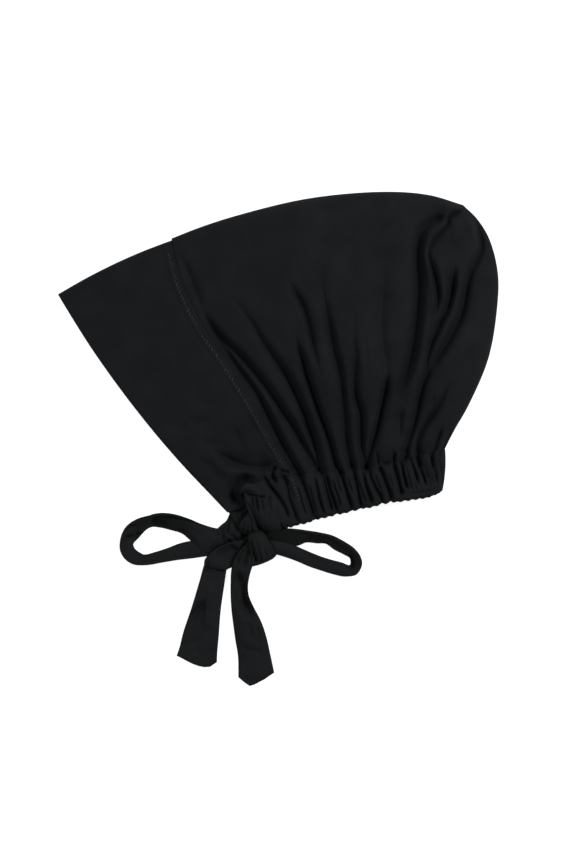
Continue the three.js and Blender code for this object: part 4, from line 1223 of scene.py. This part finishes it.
# %% Left tail
strip("tail_left_root_cloth", [
    (250, 540, 4.5, 254, 552, 3.5, 0.4),
    (240, 540.5, 7.4, 247, 557, 3.0, 0.4),
    (229, 543, 7.4, 240, 563, 2.0, 0.2),
    (214, 550, 5.4, 233, 567.5, 2.2, 0.4),
    (204.5, 560, 4.6, 228, 569.6, 2.6, 0.6),
    (203.5, 567.5, 2.6, 226, 571, 2.2, 0.3),
], folds=[
    crease([(246, 543), (241, 549), (237, 556)], 1.6, 0.9, 0.4, 0.2, 0.3),
    crease([(238, 548), (227, 554), (214, 561)], 3.0, 3.6, 0, 0.2, 0.3),
    crease([(213, 556), (214, 566)], 0.5, 1.0, 0, 0.3, 0.3),
    crease([(206, 557), (207.5, 563), (207, 569)], 1.4, 0.8, 0.4, 0.1, 0.1),
], columns=30, steps=9)
strip("tail_left_cloth", [
    (206, 560, 1.4, 227, 563, 1.4, 0.6),
    (203.4, 566, 1.0, 226.4, 569, 1.2, 1.4),
    (199, 582, 3.2, 224, 586, 2.4, 2.2),
    (190.9, 609, 4.2, 220.4, 612, 3.2, 2.4),
    (182.8, 633, 2.4, 218.4, 638, 2.6, 2.2),
    (179, 648, 1.0, 217, 653, 1.0, 1.6),
    (176, 657, 1.0, 216.6, 663, 1.0, 0.8),
], folds=[
    crease([(188, 618), (194, 613.5), (199.5, 607.5), (204, 598)], 5.0, 2.2, 1.0, 0.05, 0.35),
    crease([(210, 584), (207.5, 600), (206, 615), (204.5, 630)], -1.6, 1.4, 0, 0.3, 0.3),
    crease([(212, 622), (206, 634), (197, 643), (187, 645)], 2.6, 2.4, 0.6, 0.3, 0.3),
    crease([(196, 646), (198, 656)], 1.4, 1.6, 0, 0.3, 0.3),
    crease([(202, 576), (208, 580), (220, 578)], 1.8, 1.6, 0, 0.3, 0.3),
    crease([(217, 590), (216, 610), (215, 630)], 1.3, 1.6, 0, 0.3, 0.3),
    crease([(204, 571), (214, 572.5), (226, 571.5)], 2.4, 1.0, 0, 0.1, 0.1),
], end=[0, 1.2, 2.6, 3.8, 4.6, 4.8, 4.0, 0.3], columns=40, steps=12)

# %% Right tail
strip("tail_right_cloth", [
    (253, 536, 7.5, 262, 544, 6.5, 0.8),
    (247.5, 542, 7.8, 258.5, 551, 6.5, 1.2),
    (239.5, 550.5, 6.8, 255.5, 559, 6, 1.6),
    (233.6, 560, 5.0, 252.2, 567.5, 5, 1.6),
    (231, 571, 5.0, 249.6, 576, 5.8, 1.0),
    (230.4, 583, 5.0, 248, 586, 7.4, 1.0),
    (230.4, 597, 4.4, 249, 597, 7.8, 1.4),
    (231.2, 611, 3.0, 254.4, 609, 5.0, 2.0),
    (233, 626, 2.0, 261.4, 623, 2.6, 2.2),
    (235, 641, 1.4, 266.6, 639, 1.4, 2.0),
    (237.6, 657, 1.0, 270.4, 656, 1.0, 1.4),
    (238, 678, 1.0, 274.2, 674, 1.0, 0.6),
], folds=[
    crease([(237.5, 570), (239.6, 583), (242, 594), (244.6, 604), (249, 615), (255, 624)],
        7.0, 2.6, -0.6, 0.2, 0.4),
    crease([(246, 620), (250, 632), (251, 642)], 1.8, 1.6, 0.2, 0.3, 0.3),
    crease([(257, 626), (258.5, 636), (257, 648)], 2.0, 1.2, 0.2, 0.3, 0.3),
    crease([(240, 648), (252, 652), (264, 652)], 1.3, 1.6, 0.2, 0.3, 0.3),
    crease([(242, 676), (249, 682), (262, 677)], 1.4, 0.9, 0, 0.3, 0.3),
    crease([(245, 548), (239, 557), (236, 567)], 1.6, 0.9, 0.5, 0.2, 0.3),
    crease([(250, 549), (246, 558), (243, 570)], 2.0, 0.9, 0.5, 0.2, 0.3),
    crease([(233, 580), (235, 596), (238, 612)], 2.6, 1.3, 0.3, 0.3, 0.4),
], end=[0.4, 4.0, 7.0, 6.4, 5.0, 3.7, 1.8, 0], columns=40, steps=10)

# %% [markdown]
# ## Stitches
# A twin needle leaves two dotted lines beside the seam, and shorter lines show where the
# casing is closed and sewn on. A stitch is a tiny rounded bar that lies in the cloth. One
# is modelled, as a sphere drawn out and flattened, and its shape is copied along each
# line, each copy turned to its line. The cloth swallows one stitch more than the next, so
# the copies differ in size.

# %% One stitch
STITCH_SHAPE = (1.25, 0.42, 0.36)
bpy.ops.object.select_all(action="DESELECT")
bpy.ops.mesh.primitive_uv_sphere_add(segments=8, ring_count=5, radius=0.5)
pattern = bpy.context.object
bpy.ops.transform.resize(value=STITCH_SHAPE)
bpy.ops.object.transform_apply(location=False, rotation=False, scale=True)
bar = np.array([v.co for v in pattern.data.vertices])
bar_faces = [list(p.vertices) for p in pattern.data.polygons]
bpy.data.objects.remove(pattern)
print("one stitch has", len(bar_faces), "faces")

# %% Rows of stitches
STITCH_GAP, SMALLEST, GROWTH = 2.7, 0.55, 0.55
SEAM_STITCHED = (0.05, 0.965)
PROUD_OF_PANEL, PROUD_OF_BAND = 0.1, 0.15


def stitch_row(points, late=0.0):
    """Places and directions of stitches along a line, started late by a share of a gap."""
    line = by_length(points, 3)
    total = np.linalg.norm(np.diff(points, axis=0), axis=1).sum()
    number = np.arange(int(total / STITCH_GAP) - 1)
    middle_shares = (number + 0.5 + late) * STITCH_GAP / total
    half = 0.5 / total
    return line(middle_shares), line(middle_shares + half) - line(middle_shares - half)


def stitches(name, rows):
    """One piece of all the stitches, each turned to its row and a little different."""
    points, faces = [], []
    for centres, ways in rows:
        for centre, way in zip(centres, ways):
            way = way / np.linalg.norm(way)
            side = np.cross([0, 0, 1], way)
            side /= np.linalg.norm(side)
            size = SMALLEST + GROWTH * uneven.random()
            turn = np.stack([way, side, np.cross(way, side)]) * size
            faces += [[v + len(points) for v in face] for face in bar_faces]
            points += list(bar @ turn + centre)
    mesh = bpy.data.meshes.new(name)
    mesh.from_pydata((np.array(points) + [*shift, 0]) / PER_METRE, [], faces)
    shaded_smooth(mesh)
    made[name] = bpy.data.objects.new(name, mesh)
    bpy.context.scene.collection.objects.link(made[name])
    print(name, len(points) // len(bar), "stitches")
    return made[name]


up = np.linspace(*SEAM_STITCHED, 260)
span = np.linalg.norm(seam_edge(up) - face_edge(up), axis=-1)
seam_rows = []
for from_seam, late in ((3.2, 0), (4.1, 0.5)):
    on_panel = panel_near(1 - from_seam / span, up) + [0, 0, PROUD_OF_PANEL]
    seam_rows.append(stitch_row(on_panel, late))
print(len(seam_rows), "rows beside the seam")

# %% Stitches of the seam and the casing
CASING_ROWS = [
    [(292, 478), (295, 488), (298, 497), (302, 507)],
    [(305, 476), (311, 474), (318, 471.5)],
    [(326, 469.5), (336, 468.5), (346, 468)],
]
band_places = band[:BAND_ROWS, :NEAR_COLUMNS].reshape(-1, 3)


def on_band(places):
    """The points of the band's near side that lie under places of the grid."""
    wanted = spot(*np.array(places, float).T)
    nearest = [np.argmin(((band_places[:, :2] - place) ** 2).sum(1)) for place in wanted]
    return band_places[nearest] + [0, 0, PROUD_OF_BAND]


for places in CASING_ROWS:
    seam_rows.append(stitch_row(smooth_line(on_band(places), 12, 3)))
seam_thread = stitches("seam_stitches", seam_rows)

# %% [markdown]
# ## Painted shade in the hollows
# The colour of the cloth is given painted shade where little open space lies around it, so
# the valleys of the folds and the pockets of the knot are a darker black than their ridges.
# How free each point stands is measured: short rays leave it in all directions of its own
# half space, and the share that meets no cloth is kept with the point.

# %% A fan of rays
RAYS, RAY_LENGTH, RAY_START = 20, 0.011, 0.00025
turn_step = np.pi * (3 - np.sqrt(5))
ray_share = (np.arange(RAYS) + 0.5) / RAYS
ray_flat = np.stack([
    np.sqrt(ray_share) * np.cos(turn_step * np.arange(RAYS)),
    np.sqrt(ray_share) * np.sin(turn_step * np.arange(RAYS)),
    np.sqrt(1 - ray_share)], -1)


def corners_and_normals(piece):
    """Every point of a piece and the way its surface faces there."""
    count = len(piece.data.vertices)
    place, normal = np.zeros(3 * count), np.zeros(3 * count)
    piece.data.vertices.foreach_get("co", place)
    piece.data.vertex_normals.foreach_get("vector", normal)
    return place.reshape(-1, 3), normal.reshape(-1, 3)


def fans(normal):
    """The rays of every point, turned to stand on its surface."""
    helper = np.where(np.abs(normal[:, 2:3]) < 0.9, [[0.0, 0, 1]], [[1.0, 0, 0]])
    side = np.cross(helper, normal)
    side /= np.linalg.norm(side, axis=1)[:, None] + 1e-9
    third = np.cross(normal, side)
    x, y, z = (ray_flat[None, :, k:k + 1] for k in range(3))
    return x * side[:, None] + y * third[:, None] + z * normal[:, None]


print(RAYS, "rays of", RAY_LENGTH * PER_METRE, "mm from every point")


# %% How free each point stands
def evened(piece, free):
    """The values with each mixed with its neighbours', along the edges of the mesh."""
    edges = np.zeros(2 * len(piece.data.edges), int)
    piece.data.edges.foreach_get("vertices", edges)
    ends = np.concatenate([edges.reshape(-1, 2), edges.reshape(-1, 2)[:, ::-1]])
    for _ in range(2):
        total, number = free.copy(), np.ones(len(free))
        np.add.at(total, ends[:, 0], free[ends[:, 1]])
        np.add.at(number, ends[:, 0], 1)
        free = total / number
    return free


def keep_freedom(piece, tree):
    """Keeps with every point of a piece the share of its rays that meet no cloth."""
    place, normal = corners_and_normals(piece)
    start = (place + normal * RAY_START).tolist()
    free = evened(piece, np.array([
        sum(tree.ray_cast(here, way, RAY_LENGTH)[0] is None for way in fan) / RAYS
        for here, fan in zip(start, fans(normal).tolist())]))
    # Kept for the material, which paints shade where this share is small.
    piece.data.attributes.new("free", "FLOAT", "POINT").data.foreach_set("value", free)
    print(piece.name, "stands", round(float(free.mean()), 2), "free")


cloths = [piece for name, piece in made.items() if name.endswith("cloth")]
all_points, all_faces, offset = [], [], 0
for piece in cloths:
    all_points.append(corners_and_normals(piece)[0])
    all_faces += [[v + offset for v in p.vertices] for p in piece.data.polygons]
    offset += len(piece.data.vertices)
cloth_tree = BVHTree.FromPolygons(np.concatenate(all_points).tolist(), all_faces)
for piece in cloths:
    keep_freedom(piece, cloth_tree)

# %% [markdown]
# ## The knit
# Jersey is a fine knit: on its face, columns of small Vs. From a hand's width away they
# are just a soft grain that dulls the shine, so the grain is made twice: slanted bands
# along each column for close views, and fine noise for the far ones. The bands follow the
# cloth's own measure, kept in its UV map in metres. Both bump the surface, and the gaps
# between the stitches are darker. Black cloth is never quite black: wear and dust lift it
# by patches, and painted shade darkens the colour where little open space lies around it.

# %% Helpers for node trees
WHITE = (1, 1, 1)


def number(tree, kind, *values):
    """A calculation with plain numbers or the outputs of other nodes."""
    step = tree.nodes.new("ShaderNodeMath")
    step.operation = kind
    for index, value in enumerate(values):
        if isinstance(value, (int, float)):
            step.inputs[index].default_value = value
        else:
            tree.links.new(value, step.inputs[index])
    return step.outputs[0]


def noise(tree, where, scale, detail):
    """Smooth random values from 0 to 1, on the piece's own coordinates."""
    cloud = tree.nodes.new("ShaderNodeTexNoise")
    cloud.inputs["Scale"].default_value = scale
    cloud.inputs["Detail"].default_value = detail
    tree.links.new(where.outputs["Object"], cloud.inputs["Vector"])
    return cloud.outputs["Fac"]


def ramp(tree, value, low, high):
    """A colour by a value, between two stops of (place, colour)."""
    colours = tree.nodes.new("ShaderNodeValToRGB")
    for index, (place, colour) in enumerate((low, high)):
        colours.color_ramp.elements[index].position = place
        colours.color_ramp.elements[index].color = (*colour, 1)
    tree.links.new(value, colours.inputs["Fac"])
    return colours.outputs["Color"]


def darkened(tree, colour, by, share):
    """A colour multiplied by another one, for a share of the effect."""
    mix = tree.nodes.new("ShaderNodeMix")
    mix.data_type = "RGBA"
    mix.blend_type = "MULTIPLY"
    mix.inputs["Factor"].default_value = share
    tree.links.new(colour, mix.inputs[6])
    tree.links.new(by, mix.inputs[7])
    return mix.outputs[2]


print("helpers for numbers, noise, ramps and mixes are ready")


# %% Stitches of the knit
FULL_TURN = 6.2832
CAP_WALE, BAND_WALE = 0.75, 0.6


def knit_surface(tree, where, wale):
    """Columns of small Vs, a wale wide in millimetres, under a fine random grain."""
    apart = tree.nodes.new("ShaderNodeSeparateXYZ")
    tree.links.new(where.outputs["UV"], apart.inputs["Vector"])
    column = number(tree, "MULTIPLY", apart.outputs["X"], PER_METRE / wale)
    row = number(tree, "MULTIPLY", apart.outputs["Y"], PER_METRE / (wale * 0.8))
    fold_of = number(tree, "PINGPONG", column, 0.5)
    slant = number(tree, "ADD", row, number(tree, "MULTIPLY", fold_of, 1.4))
    legs = number(tree, "SINE", number(tree, "MULTIPLY", slant, FULL_TURN))
    rounded = number(tree, "SINE", number(tree, "MULTIPLY", fold_of, FULL_TURN))
    grain = noise(tree, where, 1400, 2)
    knit = number(tree, "MULTIPLY_ADD", legs, 0.35, number(tree, "MULTIPLY", rounded, 0.6))
    return number(tree, "MULTIPLY_ADD", grain, 0.8, knit)


print("columns of", CAP_WALE, "mm, drawn in to", BAND_WALE, "mm on the band")

# %% Jersey material
JERSEY_FINISH = {
    "Roughness": 0.88,
    "Specular IOR Level": 0.04,
    "Sheen Weight": 0.06,
    "Sheen Roughness": 0.55,
    "Sheen Tint": (0.05, 0.052, 0.056, 1),
}
GAP_TONE, PAINTED_SHADE_TONE = (0.35, 0.35, 0.35), (0.66, 0.66, 0.66)


def jersey(name, dark, light, wale=CAP_WALE):
    """Black knit: two tones in soft patches, slanted stitches in columns, a little sheen, and
    painted shade where the cloth has little open space around it.
    """
    material, tree, shader = plain_material(name, JERSEY_FINISH)
    where = tree.nodes.new("ShaderNodeTexCoord")
    tones = ramp(tree, noise(tree, where, 55, 4), (0.3, dark), (0.75, light))
    surface = knit_surface(tree, where, wale)
    bump = tree.nodes.new("ShaderNodeBump")
    bump.inputs["Strength"].default_value = 0.35
    bump.inputs["Distance"].default_value = 0.00012
    tree.links.new(surface, bump.inputs["Height"])
    tree.links.new(bump.outputs["Normal"], shader.inputs["Normal"])
    level = number(tree, "MULTIPLY_ADD", surface, 0.4, 0.4)
    gaps = ramp(tree, level, (0.2, GAP_TONE), (0.8, WHITE))
    # Painted shade: the base colour is darkened where few of a point's rays leave without meeting
    # cloth.
    stands = tree.nodes.new("ShaderNodeAttribute")
    stands.attribute_name = "free"
    painted_shade = ramp(tree, stands.outputs["Fac"], (0.3, PAINTED_SHADE_TONE), (0.95, WHITE))
    knitted = darkened(tree, tones, gaps, 0.35)
    knit_with_painted_shade = darkened(tree, knitted, painted_shade, 1.0)
    tree.links.new(knit_with_painted_shade, shader.inputs["Base Color"])
    print(name, "has", len(tree.nodes), "nodes")
    return material


cap_jersey = jersey("black_jersey", (0.0044, 0.0048, 0.0056), (0.0062, 0.0067, 0.0076))
band_jersey = jersey(
    "black_gathered_jersey", (0.0048, 0.0052, 0.0060), (0.0064, 0.0069, 0.0078), BAND_WALE)
tie_jersey = jersey("black_tie_jersey", (0.0054, 0.0058, 0.0062), (0.0072, 0.0077, 0.0081))

# %% Thread
thread, thread_tree, thread_shader = plain_material("black_thread", {"Roughness": 0.55})
thread_where = thread_tree.nodes.new("ShaderNodeTexCoord")
twist = noise(thread_tree, thread_where, 900, 2)
thread_tones = ramp(thread_tree, twist, (0, (0.008, 0.0085, 0.009)), (1, (0.020, 0.021, 0.023)))
thread_tree.links.new(thread_tones, thread_shader.inputs["Base Color"])
print(thread.name, "has", len(thread_tree.nodes), "nodes")

# %% [markdown]
# ## Putting the pieces in the frame
# Each cloth takes its finish, stands for its solid, which stays behind it for collision,
# and moves with the cap's one body. The area of every sheet is printed beside the size it
# was cut to, measured as it lies.

# %% Finish, frame and sheets
def area_of(piece):
    """The area of one side of a piece's cloth, in square metres."""
    return sum(p.area for p in piece.data.polygons) / 2


def settle(piece, material, flat, nodes):
    """Gives a cloth its finish and its body, hides its solid, and prints its area beside its cut
    size.
    """
    piece.data.materials.append(material)
    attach(piece, "root")
    if nodes:
        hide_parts(*nodes)
    cut = [round(side, 3) for side in flat]
    print(piece.name, "cloth area", round(area_of(piece) * 1e4), "square cm, cut", cut)


seam_thread.data.materials.append(thread)
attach(seam_thread, "root")
settle(crown, cap_jersey, (0.40, 0.22), ["crown"])
settle(
    panel, cap_jersey, (0.366, 0.084), ["front_panel"])
settle(casing, band_jersey, (0.30, 0.027), ["neck_casing"])

# %% Ties
NARROWEST = 0.01
STRIPS = {
    "near_root_cloth": (["tie_root_near"], "gathered"),
    "channel_lip_cloth": ([], "folded"),
    "corner_flap_cloth": ([], "folded"),
    "far_root_cloth": (["tie_root_far"], "gathered"),
    "knot_core_cloth": ([], "folded"),
    "knot_wrap_cloth": (["bow_knot"], "folded"),
    "knot_petal_cloth": ([], "folded"),
    "loop_left_cloth": (["bow_loop_left"], "folded"),
    "loop_right_cloth": (["bow_loop_right"], "folded"),
    "tail_left_root_cloth": ([], "folded"),
    "tail_left_cloth": (["tie_tail_left"], "laid"),
    "tail_right_cloth": (["tie_tail_right"], "laid"),
}
for name, (nodes, held) in STRIPS.items():
    piece = made[name]
    flat = (max(NARROWEST, piece["width"]), piece["length"])
    settle(piece, tie_jersey, flat, nodes)
